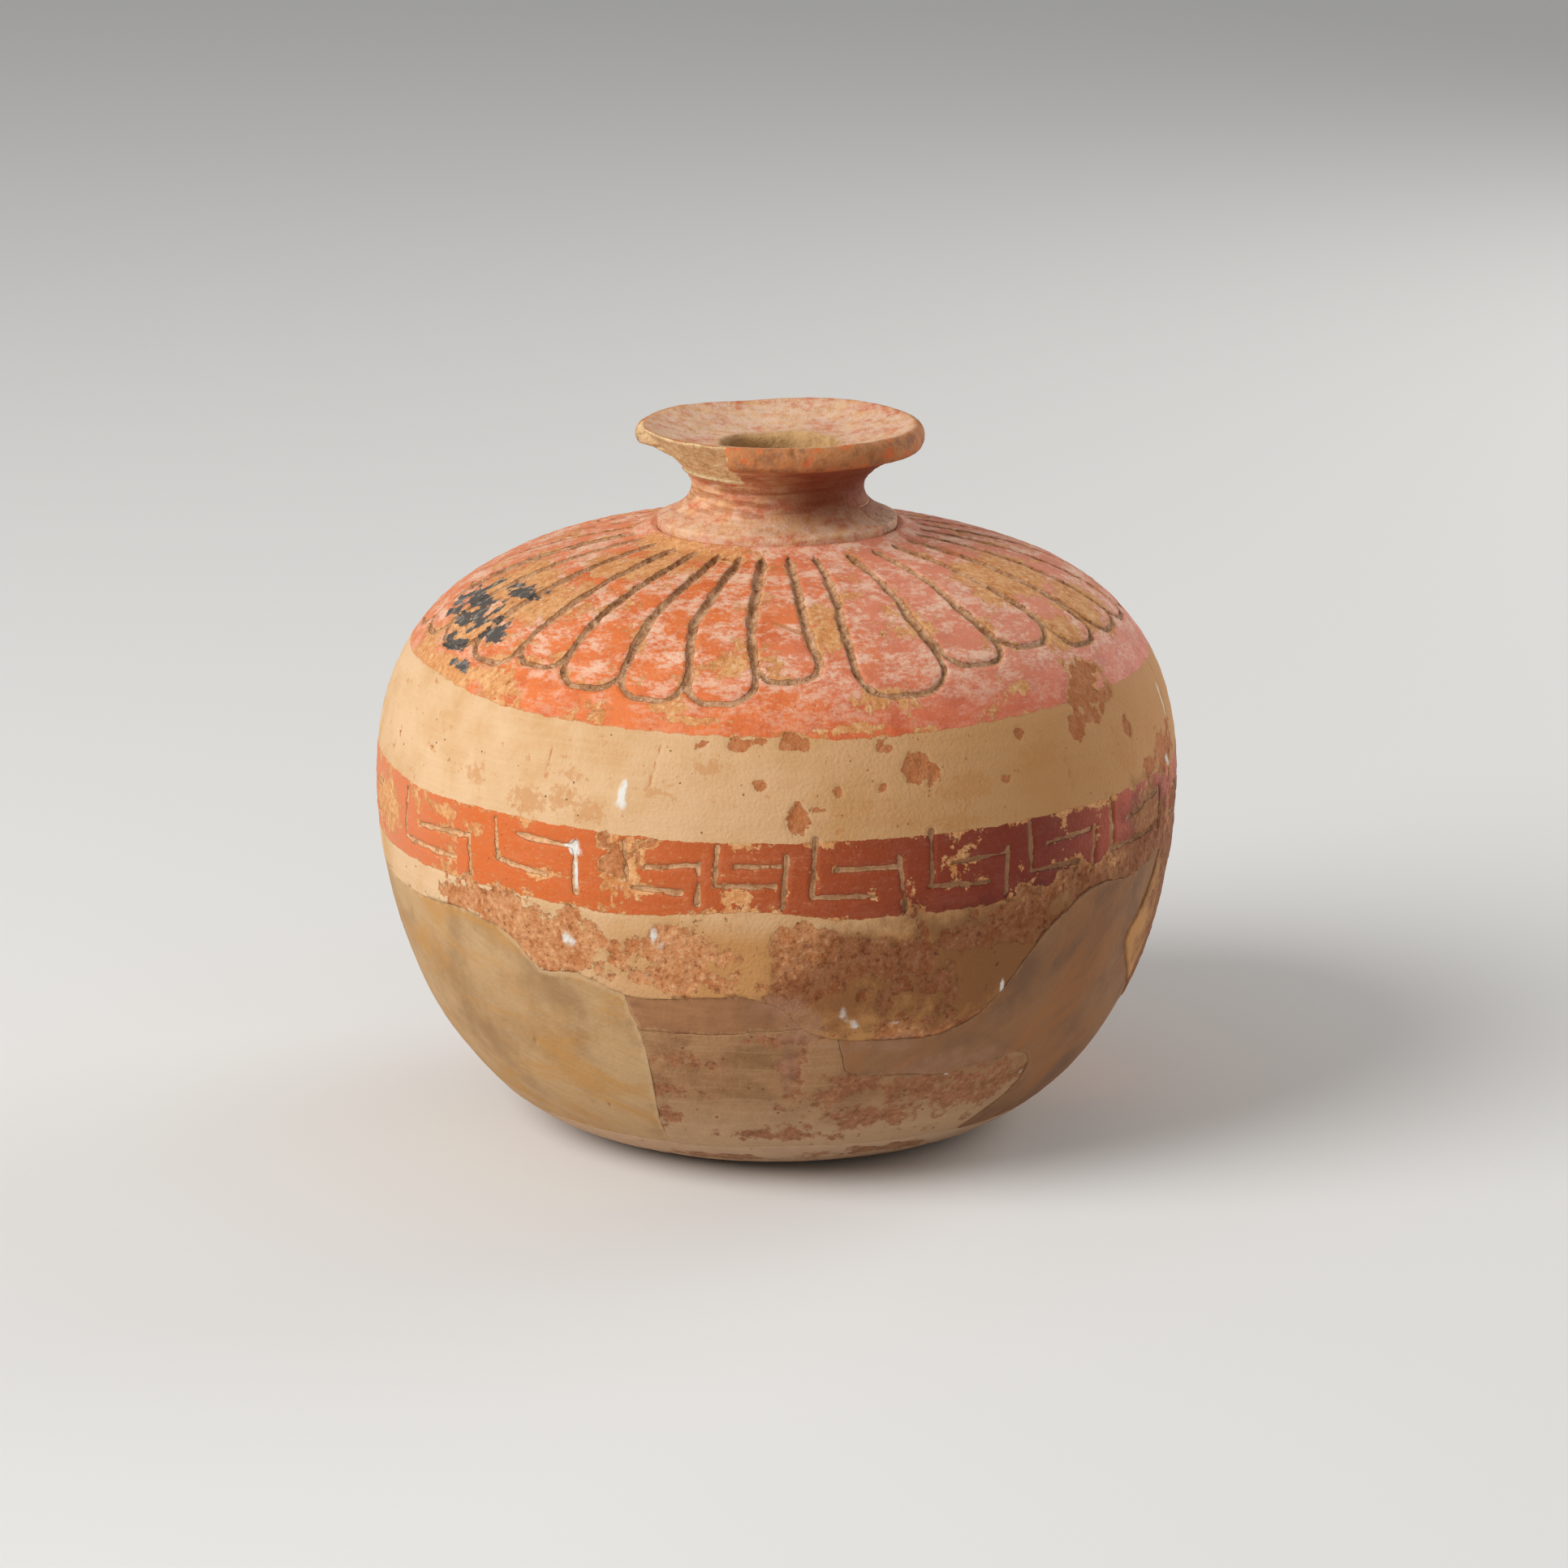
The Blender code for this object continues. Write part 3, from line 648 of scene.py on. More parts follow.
def spots(place, patches):   # up to each patch's strength in its middle, falling through 0 at its rim
    total = np.full(len(place["azimuth"]), -1.0)
    for azimuth, height, wide, tall, strength in patches:
        turn = (place["azimuth"] - azimuth + 180) % 360 - 180
        ragged = 0.9 * min(wide, tall, 1.5) * place["wobble"]
        across = (turn * place["radius"] * math.pi / 180 + ragged[0]) / wide
        up = (place["arc"] - curveAt(height, arcAlong) + ragged[1]) / tall
        total = np.maximum(total, strength * (1 - np.hypot(across, up)))
    return total


# Relief that the slip, its wear and the making leave on the painted sherds, in mm
slipRelief = {"scratch": 0.14, "tongueBurr": 0.06, "keyBurr": 0.04, "bare": 0.17, "thin": 0.05,
              "swell": 0.30, "ripple": 0.06, "fine": 0.025, "wheel": 0.025, "wheelPitch": 2.7,
              "dab": 0.10, "eased": 0.04, "luting": 0.75, "lutingReach": 2.2}
# How sound each painted sherd's slip and red are, and the height below which the slip goes
sherdWear = {"frontBodySherd": {"soundness": 0.80, "redSoundness": 0.39, "foot": 27.0},
             "backBodySherd": {"soundness": 0.78, "redSoundness": 0.39, "foot": 22.0}}


def carveSherd(piece, worn):
    place = surfaceOf(piece)
    points, height, radius = place["points"], place["height"], place["radius"]
    tongue = tongueDistance(place)
    fine = lumps(points, 1.4, 47, 3)
    key = strokeDistance(place, allStrokes()) / (keyCut["halfWidth"] * (1 + 0.8 * fine))
    scratch = strokeDistance(place, scratchStrokes)
    red = redDistance(place)
    mottle = lumps(points, 5.0, 41, 4)
    flakes = lumps(points, 2.6, 43, 3)
    lost = np.maximum(spots(place, lostSlip) + 0.5 * flakes + 0.45 * fine,
                      spots(place, bareZones) + 0.6 * mottle + 0.6 * flakes + 0.5 * fine)
    lost = np.maximum(lost, mottle + 0.5 * fine - worn["soundness"])
    lost = np.maximum(lost, (worn["foot"] - height) / 12 + 0.8 * mottle)
    thin = np.maximum(spots(place, thinRed) + 0.7 * mottle + 0.5 * flakes,
                      0.8 * mottle + 0.6 * flakes - worn["redSoundness"])
    thin += (0.28 * (1 - ramp(tongue, 0.9, 2.0)) + 0.2 * (1 - ramp(key, 0.9, 2.0))
             + 0.35 * (1 - ramp(red, 0.0, 1.2)))
    chalk = spots(place, plasterDabs) + 0.2 * fine

    cut = -tongueCut["depth"] * (1 - ramp(tongue, 0.15, 1.25)) * (1.0 + 0.4 * mottle)
    cut -= keyCut["depth"] * (1 - ramp(key, 0.15, 1.4)) * (0.9 + 0.5 * mottle)
    cut -= slipRelief["scratch"] * (1 - ramp(scratch, 0.05, 0.4))
    burr = (slipRelief["tongueBurr"] * np.exp(-((tongue - 1.8) / 0.5) ** 2)
            + slipRelief["keyBurr"] * np.exp(-((key - 1.9) / 0.5) ** 2))
    bare = ramp(lost, -0.05, 0.2)
    wear = -bare * (slipRelief["bare"] + 0.10 * fine + 0.12 * lumps(points, 0.9, 53, 2))
    wear -= slipRelief["thin"] * ramp(thin, -0.1, 0.15) * (red > 0) * (1 - bare)
    handmade = (slipRelief["swell"] * lumps(points, 26.0, 59, 2)
                + slipRelief["ripple"] * lumps(points, 6.0, 61, 2) + slipRelief["fine"] * fine)
    turns = place["arc"] * 2 * math.pi / slipRelief["wheelPitch"]
    wheel = slipRelief["wheel"] * np.sin(turns + 2 * lumps(points, 20.0, 67, 2))
    dab = slipRelief["dab"] * ramp(chalk, 0.0, 0.3)
    eased = -slipRelief["eased"] * np.exp(-(place["edge"] / 0.4) ** 2)
    collar = jar["collarRadius"]
    luting = slipRelief["luting"] * np.exp(-((radius - collar) / slipRelief["lutingReach"]) ** 2)
    luting *= (radius > collar + 0.2) & (height > jar["bellyHeight"])   # clay smeared up to the collar
    collarFade = ramp(radius, collar + 0.3, collar + 3.5)
    moveOut(piece, place, collarFade * (cut + burr + wear + handmade + wheel + dab) + eased + luting)
    fields = {"tongueCut": tongue, "keyCut": key, "scratch": scratch, "redPaint": red, "slipLost": lost,
              "redThin": thin, "plasterDab": chalk,
              "soot": spots(place, sootPatch) + 0.6 * flakes + 0.9 * fine,
              "stain": spots(place, stainPatches) + 0.6 * mottle + 0.4 * flakes,
              "lowDarkening": spots(place, lowDarkeningPatches) + 0.5 * mottle + 0.3 * flakes}
    for name, values in fields.items():
        keepField(piece, name, values)
    keepPlace(piece, place)


def carvePlain(piece, relief):   # fills and plain sherds: soft hand-smoothed swell, pits and a worn edge
    refine(piece)
    place = surfaceOf(piece)
    points = place["points"]
    fine = lumps(points, 1.4, 47, 3)
    swell = relief["swell"] * lumps(points, relief["swellSize"], relief["seed"], 2)
    rough = relief["rough"] * lumps(points, relief["roughSize"], relief["seed"] + 7, 3)
    lost = spots(place, relief["bare"]) + 0.7 * lumps(points, 4.0, 43, 4) + 0.35 * fine
    chalk = spots(place, plasterDabs) + 0.2 * fine
    dab = 0.08 * ramp(chalk, 0.0, 0.3) - relief["bareDepth"] * ramp(lost, -0.05, 0.2) * (1 + 0.6 * fine)
    eased = -relief["ease"] * np.exp(-(place["edge"] / 0.6) ** 2)
    moveOut(piece, place, swell + rough + dab + eased - relief["sunk"])
    keepField(piece, "slipLost", lost)
    keepField(piece, "plasterDab", chalk)
    keepPlace(piece, place)


# Relief in mm of the plain pieces, and their bare places given as the worn places above are
reliefs = {
    "lowerFrontSherd": {
        "swell": 0.25, "swellSize": 16.0, "rough": 0.10, "roughSize": 1.6, "ease": 0.05, "sunk": 0.02,
        "seed": 71, "bareDepth": 0.10,
        "bare": [(20, 12, 13, 4, 0.4), (36, 15, 9, 4.5, 0.8), (13, 18, 4, 3, 0.7), (-13, 21, 4, 1.8, 0.6),
                 (-16, 16, 6, 1.6, 0.4), (3, 20, 2, 3, 0.6), (-3, 9, 6, 1.2, 0.4), (24, 17, 7, 2, 0.6),
                 (0, 25.5, 5, 0.9, 0.7), (-18, 12, 2, 2.5, 0.6)]},
    "baseSherd": {
        "swell": 0.10, "swellSize": 14.0, "rough": 0.06, "roughSize": 1.8, "ease": 0.12, "sunk": 0.08,
        "seed": 73, "bareDepth": 0.1,
        "bare": [(-10, 3, 10, 2, 0.7), (20, 4, 9, 2, 0.7), (150, 3, 20, 3, 0.8), (250, 4, 14, 2, 0.7)]},
    "leftFill": {
        "swell": 0.30, "swellSize": 13.0, "rough": 0.05, "roughSize": 1.5, "ease": 0.02, "sunk": 0.10,
        "seed": 79, "bareDepth": 0.2,
        "bare": [(-40.5, 21, 0.5, 0.4, 1), (-30, 12, 0.4, 0.4, 1), (-33.5, 12, 0.4, 0.3, 1)]},
    "centreFill": {
        "swell": 0.12, "swellSize": 8.0, "rough": 0.07, "roughSize": 1.2, "ease": 0.02, "sunk": 0.14,
        "seed": 83, "bareDepth": 0.0, "bare": []},
    "rightFill": {
        "swell": 0.25, "swellSize": 12.0, "rough": 0.06, "roughSize": 1.6, "ease": 0.02, "sunk": 0.05,
        "seed": 89, "bareDepth": 0.0, "bare": []},
}
for name, worn in sherdWear.items():
    carveSherd(pieces[name], worn)
for name, relief in reliefs.items():
    carvePlain(pieces[name], relief)
print("wall carved and worn")


# Neck, dished mouth and collar in millimetres, with the loss on its lip and the fill let into its collar
neck = {
    "boreRadius": 8.0,
    "spigotRadius": 10.7,
    "spigotDepth": 4.5,
    "baseGap": 0.06,
    "collarRadius": 17.0,
    "collarEdge": 1.5,
    "collarSweep": 2.8,
    "collarRise": 22.0,
    "waistRadius": 12.2,
    "waistRise": 6.2,
    "waistSweep": 2.5,
    "mouthRise": 8.5,
    "lipRadius": 20.5,
    "crestInset": 1.6,
    "widestDrop": 1.6,
    "underInset": 0.7,
    "underDrop": 3.3,
    "underSweep": 1.7,
    "dishDepth": 2.8,
    "dishSag": 0.9,
    "throatEase": 0.6,
    "columns": 480,
    "rowStep": 0.34,
    "lean": 0.4,            # the mouth stands a little right of the body
    "backRise": 0.45,       # the rim stands higher at the back
    "dip": 0.55,            # and has a low place at the back left
    "dipAzimuth": 194.0,
    "dipWidth": 26.0,
    "lossSpan": (-96.0, -20.0),
    "lossFoot": (13.2, 94.1),
    "lossTop": (19.4, 99.9),
    "fillSpan": (62.0, 112.0),
    "fillRadius": 13.2,
    "fillGap": 0.08,
    # unevenness of the break, the wall, the dish and the rim
    "lossRagged": 3.5,
    "lossRough": 0.35,
    "lossSwell": 0.25,
    "rough": 0.10,
    "swell": 0.16,
    "wheelLine": 0.05,
    "wheelPitch": 0.9,
    "nick": 0.5,
    "dishRough": 0.12,
    "dishSwell": 0.15,
    "rimSwell": 0.2,
}


def even(points, step):   # points on a line, one step apart
    points = np.array(points, float)
    along = np.concatenate([[0], np.cumsum(np.hypot(*np.diff(points, axis=0).T))])
    spots = np.linspace(0, along[-1], max(2, round(along[-1] / step) + 1))
    return pointsAlong(spots, along, points)


# Rows of points, and where each lies: 0 bore, 1 throat, 2 crest, 3 under lip, 4 waist, 5 collar
def neckSection():
    base = jar["seatHeight"] + neck["baseGap"]
    bottom = jar["seatHeight"] - neck["spigotDepth"]
    waist = np.array([neck["waistRadius"], jar["seatHeight"] + neck["waistRise"]])
    crest = np.array([neck["lipRadius"] - neck["crestInset"], waist[1] + neck["mouthRise"]])
    widest = np.array([neck["lipRadius"], crest[1] - neck["widestDrop"]])
    under = np.array([neck["lipRadius"] - neck["underInset"], crest[1] - neck["underDrop"]])
    throat = np.array([neck["boreRadius"] + neck["throatEase"], crest[1] - neck["dishDepth"]])
    collar = np.array([neck["collarRadius"], base + neck["collarEdge"]])
    bore, spigot = neck["boreRadius"], neck["spigotRadius"]
    sag = np.array([0, neck["dishSag"]])
    dish = bezier(throat, throat * 0.7 + crest * 0.3 - sag, throat * 0.4 + crest * 0.6 - sag, crest, 40)
    lip = np.vstack([bezier(crest, crest + (0.8, 0.25), widest + (0, 0.9), widest, 20),
                     bezier(widest, widest - (0, 0.9), under + (0.5, 0.4), under, 20)[1:]])
    corner = np.array([waist[0], under[1] - neck["underSweep"]])
    flare = bezier(under, under + (corner - under) * 0.55, waist + (corner - waist) * 0.55, waist, 40)
    collarHandle = collar + polar(neck["collarSweep"], 180 - neck["collarRise"])
    foot = bezier(waist, waist - (0, neck["waistSweep"]), collarHandle, collar, 40)
    parts = [
        (0, even([(bore, bottom), (bore, throat[1] - neck["throatEase"])], 0.8)),
        (0.9, even([(bore, throat[1] - neck["throatEase"]), throat], 0.3)),
        (1, even(dish, neck["rowStep"])),
        (2, even(lip, neck["rowStep"])),
        (3, even(flare, neck["rowStep"])),
        (4, even(foot, neck["rowStep"])),
        (5, even([collar, (neck["collarRadius"], base)], neck["rowStep"])),
        (6, even([(neck["collarRadius"], base), (spigot, base), (spigot, bottom)], 2.0)),
    ]
    section, places = [], []
    for start, points in parts:
        section += [tuple(p) for p in points[:-1]]
        places += list(start + np.linspace(0, 1 if start != 0.9 else 0.1, len(points))[:-1])
    return section + [tuple(parts[-1][1][-1])], places + [7.0]


def turnedBlock(name, section, span):   # a closed section turned through part of a circle
    bm = bmesh.new()
    face = bm.faces.new([bm.verts.new(onWall(r, span[0], z)) for r, z in section])
    turn = math.radians(span[1] - span[0])
    bmesh.ops.spin(bm, geom=[face], cent=(0, 0, 0), axis=(0, 0, 1), angle=turn, steps=40)
    bmesh.ops.recalc_face_normals(bm, faces=bm.faces)
    return meshObject(name, bm)


def fillBlock(grow):
    inside = neck["fillRadius"] - grow
    outside = neck["collarRadius"] + 3
    low = jar["seatHeight"] - 1
    high = jar["seatHeight"] + neck["waistRise"]
    edge = math.degrees(grow / neck["fillRadius"])
    span = (neck["fillSpan"][0] - edge, neck["fillSpan"][1] + edge)
    return turnedBlock("fillBlock", [(inside, low), (outside, low), (outside, high), (inside, high)], span)


def shapeNeck():
    section, places = neckSection()
    piece = turned("neckAndMouth", section, neck["columns"], True)
    points, radius, azimuth = pointsOf(piece)
    rows = np.array(section)
    spread = (radius[:, None] - rows[:, 0]) ** 2 + (points[:, 2:] - rows[:, 1]) ** 2
    place = np.array(places)[np.argmin(spread, axis=1)]
    height = points[:, 2].copy()
    outside = (place > 2.0) & (place < 5.2)

    # the lip's lost piece: a slanting gritty break from under the crest down to the neck
    start, end = neck["lossSpan"]
    (footRadius, footHeight), (topRadius, topHeight) = neck["lossFoot"], neck["lossTop"]
    into = np.minimum(azimuth - start, end - azimuth) + neck["lossRagged"] * lumps(points, 3.0, 101, 2)
    broken = np.interp(height, [footHeight, topHeight], [footRadius, topRadius])
    broken += neck["lossRough"] * lumps(points, 2.2, 103, 3)
    broken += neck["lossSwell"] * lumps(points, 7.0, 107, 2)
    broken += np.maximum(0, 1.2 - into) * 3
    lost = np.where(outside & (into > 0) & (height > footHeight), np.maximum(radius - broken, 0), 0)
    radius -= lost

    # hand-turned unevenness, wheel lines, nicks and rubbed edges
    seatHeight = jar["seatHeight"]
    waistHeight = seatHeight + neck["waistRise"]
    body = ramp(height, seatHeight + 0.4, seatHeight + 3)
    rough = neck["rough"] * lumps(points, 1.1, 109, 3) + neck["swell"] * lumps(points, 6.0, 113, 2)
    lines = neck["wheelLine"] * np.sin(height * 2 * math.pi / neck["wheelPitch"])
    lines = lines * (np.abs(place - 3.4) < 0.5)
    nicks = -neck["nick"] * ramp(lumps(points, 2.0, 127, 2), 0.45, 0.8)
    nicks = nicks * np.exp(-((place - 2.35) / 0.35) ** 2)
    radius += np.where(outside & (lost == 0), body * (rough + lines) + nicks, 0)
    dish = np.exp(-((place - 1.6) / 0.6) ** 2)
    uneven = neck["dishRough"] * lumps(points, 2.0, 131, 3) + neck["dishSwell"] * lumps(points, 8.0, 137, 2)
    height += dish * uneven
    mouth = ramp(height, waistHeight + 2, waistHeight + 7)
    fromDip = (azimuth - neck["dipAzimuth"] + 180) % 360 - 180
    height -= mouth * neck["dip"] * np.exp(-(fromDip / neck["dipWidth"]) ** 2)
    around = np.radians(azimuth)
    backward = neck["backRise"] * np.minimum(np.cos(around), 0)
    height += mouth * (neck["rimSwell"] * lumps(points, 12.0, 139, 2) - backward)
    lean = neck["lean"] * ramp(height, seatHeight + 2, seatHeight + 14)
    movePoints(piece, np.column_stack([radius * np.sin(around) + lean, -radius * np.cos(around), height]))
    keepField(piece, "neckPlace", place)
    keepField(piece, "lipLoss", lost)
    return piece


neckPiece = shapeNeck()
collarFill = bpy.data.objects.new("collarFill", neckPiece.data.copy())
bpy.context.scene.collection.objects.link(collarFill)
cutBy(collarFill, fillBlock(0), "INTERSECT")
cutBy(neckPiece, fillBlock(neck["fillGap"]), "DIFFERENCE")
inOrder(neckPiece)
inOrder(collarFill)
pieces["neckAndMouth"] = neckPiece
pieces["collarFill"] = collarFill
print("neck and collar fill turned", len(neckPiece.data.polygons), len(collarFill.data.polygons))


# Materials
def linear(code):   # sRGB hex to linear colour
    channels = [int(code[i:i + 2], 16) / 255 for i in (0, 2, 4)]
    return [c / 12.92 if c <= 0.04045 else ((c + 0.055) / 1.055) ** 2.4 for c in channels] + [1]


def hues(look):   # a look's colours made linear, alone or in sets
    return {part: linear(tone) if isinstance(tone, str) else [linear(code) for code in tone]
            for part, tone in look.items()}


# Adds a node with its settings and links, and gives one output. Inputs go by socket, or in socket order:
# for MapRange that is the value, the range that it comes from and the range that it goes to
def addNode(tree, kind, inputs=(), out=0, **settings):
    node = tree.nodes.new("ShaderNode" + kind)
    for name, value in settings.items():
        setattr(node, name, value)
    for socket, value in inputs.items() if isinstance(inputs, dict) else enumerate(inputs):
        if isinstance(value, bpy.types.NodeSocket):
            tree.links.new(value, node.inputs[socket])
        else:
            node.inputs[socket].default_value = value
    return node.outputs[out] if node.outputs else None


def newMaterial(name):
    material = bpy.data.materials.new(name)
    material.use_nodes = True
    material.node_tree.nodes.clear()
    return material, partial(addNode, material.node_tree)


def perMm(size):   # texture scale for features of a size in millimetres
    return 1 / (size * mm)


def frayed(add, field, fray, size, low, high):   # 0 below and 1 above a field's level, ragged
    spot = add("TexCoord", out="Object")
    noise = add("TexNoise", {"Vector": spot, "Scale": perMm(size), "Detail": 6.0, "Roughness": 0.7})
    value = add("Attribute", out="Fac", attribute_name=field)
    rough = add("Math", [noise, fray, value], operation="MULTIPLY_ADD")
    return add("MapRange", [rough, low + fray / 2, high + fray / 2], interpolation_type="SMOOTHSTEP")


def mottled(add, first, second, size, low, high):   # two colours mingled in soft patches
    spot = add("TexCoord", out="Object")
    noise = add("TexNoise", {"Vector": spot, "Scale": perMm(size), "Detail": 6.0, "Roughness": 0.6})
    share = add("MapRange", [noise, low, high], interpolation_type="SMOOTHSTEP")
    return add("Mix", {0: share, 6: first, 7: second}, 2, data_type="RGBA")


def speckled(add, ground, fleck, spacing, radius, share):   # sparse flecks or pits, and where
    spot = add("TexCoord", out="Object")
    cells = add("TexVoronoi", {"Vector": spot, "Scale": perMm(spacing)}, "Distance")
    chosen = add("Math", [cells.node.outputs["Color"], share], operation="LESS_THAN")
    inside = add("MapRange", [cells, radius / spacing, 0.5 * radius / spacing])
    amount = add("Math", [inside, chosen], operation="MULTIPLY")
    return add("Mix", {0: amount, 6: ground, 7: fleck}, 2, data_type="RGBA"), amount


def sandy(add, tones, size):   # sandy clay: mixed grains, dark between them; and their height
    body, deep, crevice, pale = tones
    spot = add("TexCoord", out="Object")
    grains = add("TexNoise", {"Vector": spot, "Scale": perMm(size), "Detail": 3.0, "Roughness": 0.65})
    tone = mottled(add, body, deep, 3.0, 0.38, 0.66)
    bright = add("MapRange", [grains, 0.53, 0.70, 0, 0.7])
    between = add("MapRange", [grains, 0.46, 0.32, 0, 0.85])
    for share, colour in ((bright, pale), (between, crevice)):
        tone = add("Mix", {0: share, 6: tone, 7: colour}, 2, data_type="RGBA")
    return tone, grains


def streaks(add, angle, length, width):   # brush strokes that follow the wall, as 0 to 1
    azimuth = add("Attribute", out="Fac", attribute_name="azimuth")
    arc = add("Attribute", out="Fac", attribute_name="arc")
    across = add("Math", [azimuth, 0.85], operation="MULTIPLY")   # mm a degree
    flat = add("CombineXYZ", {"X": across, "Y": arc})
    along = add("VectorRotate", {"Vector": flat, "Angle": math.radians(angle)}, rotation_type="Z_AXIS")
    scaled = add("VectorMath", [along, (1 / length, 1 / width, 1)], operation="MULTIPLY")
    return add("TexNoise",
               {"Vector": scaled, "Scale": 1.0, "Detail": 5.0, "Roughness": 0.6, "Distortion": 0.8})


def finishMatte(add, colour, roughness, height, depth):   # dull surface with fine relief
    bump = add("Bump", {"Height": height, "Strength": 1.0, "Distance": depth * mm})
    shader = add("BsdfPrincipled",
                 {"Base Color": colour, "Roughness": roughness, "Normal": bump, "Specular IOR Level": 0.3})
    add("OutputMaterial", {"Surface": shader})


smearLook = {"tone": "A97C60", "deep": "93694E", "share": 0.6}


def smeared(add, surface):   # thin plaster wiped over the join low at the front
    here = frayed(add, "smear", 0.9, 2.0, -0.1, 0.5)
    here = add("Math", [here, smearLook["share"]], operation="MULTIPLY")
    tone = mottled(add, linear(smearLook["tone"]), linear(smearLook["deep"]), 3.0, 0.4, 0.66)
    return add("Mix", {0: here, 6: surface, 7: tone}, 2, data_type="RGBA")


# Slip-painted earthenware, burnished before firing and long worn: the red slip is smooth with a chalky
# bloom, the buff slip is dull and pitted, and where both are gone the sandy clay shows
slipLook = {
    # sandy tones: body, deep, between the grains, pale grains
    "clay": ("CC8E5E", "BA7442", "8C522E", "E0B286"),
    "ground": ("DA9E66", "CA844C", "B0713E", "E8C194"),
    "groove": ("C4946C", "A06E46", "6E4428", "E2BC98"),
    "key": ("DCA878", "BE8858", "845434", "E6C098"),
    # the buff's right-hand colour stands for the buff slip in painted shade
    "buff": ("DAB48A", "CA9D6A"), "buffDust": "E3C69E", "buffShadeBrown": "C08850", "stain": "C1834E",
    "redLeft": ("DB7030", "CA5C20"), "redRight": ("D0603A", "BA4A28"), "bloom": "EAC4A8", "haze": "E4A486",
    # the belt's and the key strokes' right-hand colours stand for them in painted shade
    "beltLeft": "D0672A", "beltRightShaded": "7C260E", "beltFar": "C0583A", "keyRightShaded": "9A6644",
    "chip": "AE6234", "pit": "8A5A34", "inside": "B98A60", "lowDarkening": "BEB0AA", "plaster": "E0DAD0",
    "soot": ("544D47", "9A9186"),
}


def slippedClay(name):
    material, add = newMaterial(name)
    hue = hues(slipLook)
    spot = add("TexCoord", out="Object")
    azimuth = add("Attribute", out="Fac", attribute_name="azimuth")
    height = add("SeparateXYZ", [spot], "Z")
    grit = add("TexNoise", {"Vector": spot, "Scale": perMm(0.5), "Detail": 4.0})
    drift = add("TexNoise", {"Vector": spot, "Scale": perMm(9.0), "Detail": 4.0})
    drifted = add("Math", [drift, 60.0, azimuth], operation="MULTIPLY_ADD")

    # shares that grow along a stretch of the wall: what they follow, its start and end, the most, and how
    stretches = {
        "fresh": (height, 0.045, 0.053, 0.6, "LINEAR"),   # chips above are less bleached
        "rightward": (drifted, 15.0, 70.0, 1.0, "SMOOTHSTEP"),
        # painted shade: the belt red darkens to the right, and the red is rubbed most where this is low, on
        # the left
        "beltward": (azimuth, -45.0, 40.0, 1.0, "SMOOTHSTEP"),
        # painted shade: the buff goes browner to the right
        "browner": (azimuth, -45.0, 50.0, 0.85, "SMOOTHSTEP"),
        # the painted shade gives way here, and the belt goes back near its own red
        "farRight": (azimuth, 38.0, 66.0, 1.0, "SMOOTHSTEP"),
        "behind": (azimuth, 250.0, 130.0, 1.0, "SMOOTHSTEP"),   # back to the left's colours round the back
        "soiled": (azimuth, -34.0, -10.0, 1.0, "LINEAR"),
        "below": (height, 0.045, 0.040, 0.95, "LINEAR"),
        "upper": (height, 0.060, 0.062, 1.0, "LINEAR"),
        "nearNeck": (height, 0.0845, 0.0862, 0.5, "LINEAR"),
        "farLeft": (azimuth, -46.0, -74.0, 0.3, "LINEAR"),
        "backLeft": (azimuth, 200.0, 250.0, 0.3, "LINEAR"),
    }
    grown = {}
    for part, (value, start, end, most, ease) in stretches.items():
        grown[part] = add("MapRange", [value, start, end, 0, most], interpolation_type=ease)
    # below the belt, from the front rightward, the buff goes browner as well
    below = add("Math", [grown["below"], grown["soiled"]], operation="MULTIPLY")
    grown["browner"] = add("Math", [grown["browner"], below], operation="MAXIMUM")
    for part in ("rightward", "beltward", "browner", "farRight"):
        grown[part] = add("Math", [grown[part], grown["behind"]], operation="MULTIPLY")

    clay, grains = sandy(add, hue["clay"], 0.8)
    clay = add("Mix", {0: grown["fresh"], 6: clay, 7: hue["chip"]}, 2, data_type="RGBA")
    lost = frayed(add, "slipLost", 1.4, 1.5, 0.0, 0.05)
    nearLost = frayed(add, "slipLost", 1.4, 1.5, -0.2, -0.12)

    # buff slip: cloudy, wiped round the wheel, stained and pitted, browner to the right in painted shade
    # and browner below the belt from the front rightward
    buff = mottled(add, *hue["buff"], 13.0, 0.4, 0.72)
    wiped = streaks(add, 0.0, 16.0, 0.45)
    dust = add("MapRange", [wiped, 0.42, 0.75, 0, 0.22])
    stained = frayed(add, "stain", 3.6, 1.0, 0.05, 0.5)
    stained = add("Math", [stained, 0.55], operation="MULTIPLY")
    for share, colour in ((dust, hue["buffDust"]), (stained, hue["stain"])):
        buff = add("Mix", {0: share, 6: buff, 7: colour}, 2, data_type="RGBA")
    buff = mottled(add, buff, hue["stain"], 1.5, 0.61, 0.73)
    buff, pits = speckled(add, buff, hue["pit"], 1.7, 0.19, 0.4)
    buff = add("Mix", {0: grown["browner"], 6: buff, 7: hue["buffShadeBrown"]}, 2, data_type="RGBA")

    # red slip over a tan ground: orange-red on the left, rosier to the right, and on the belt darker to the
    # right in painted shade, which gives way at the far right
    inRed = frayed(add, "redPaint", 1.2, 2.4, 0.0, 0.1)
    thin = frayed(add, "redThin", 2.2, 1.1, 0.0, 0.1)
    ground = sandy(add, hue["ground"], 0.8)[0]
    under = add("Mix", {0: inRed, 6: buff, 7: ground}, 2, data_type="RGBA")
    leftRed = mottled(add, *hue["redLeft"], 3.5, 0.42, 0.7)
    rightRed = mottled(add, *hue["redRight"], 3.5, 0.42, 0.7)
    shoulderRed = add("Mix", {0: grown["rightward"], 6: leftRed, 7: rightRed}, 2, data_type="RGBA")
    red = hue["beltLeft"]
    for share, colour in ((grown["beltward"], hue["beltRightShaded"]), (grown["farRight"], hue["beltFar"]),
                          (grown["upper"], shoulderRed)):
        red = add("Mix", {0: share, 6: red, 7: colour}, 2, data_type="RGBA")
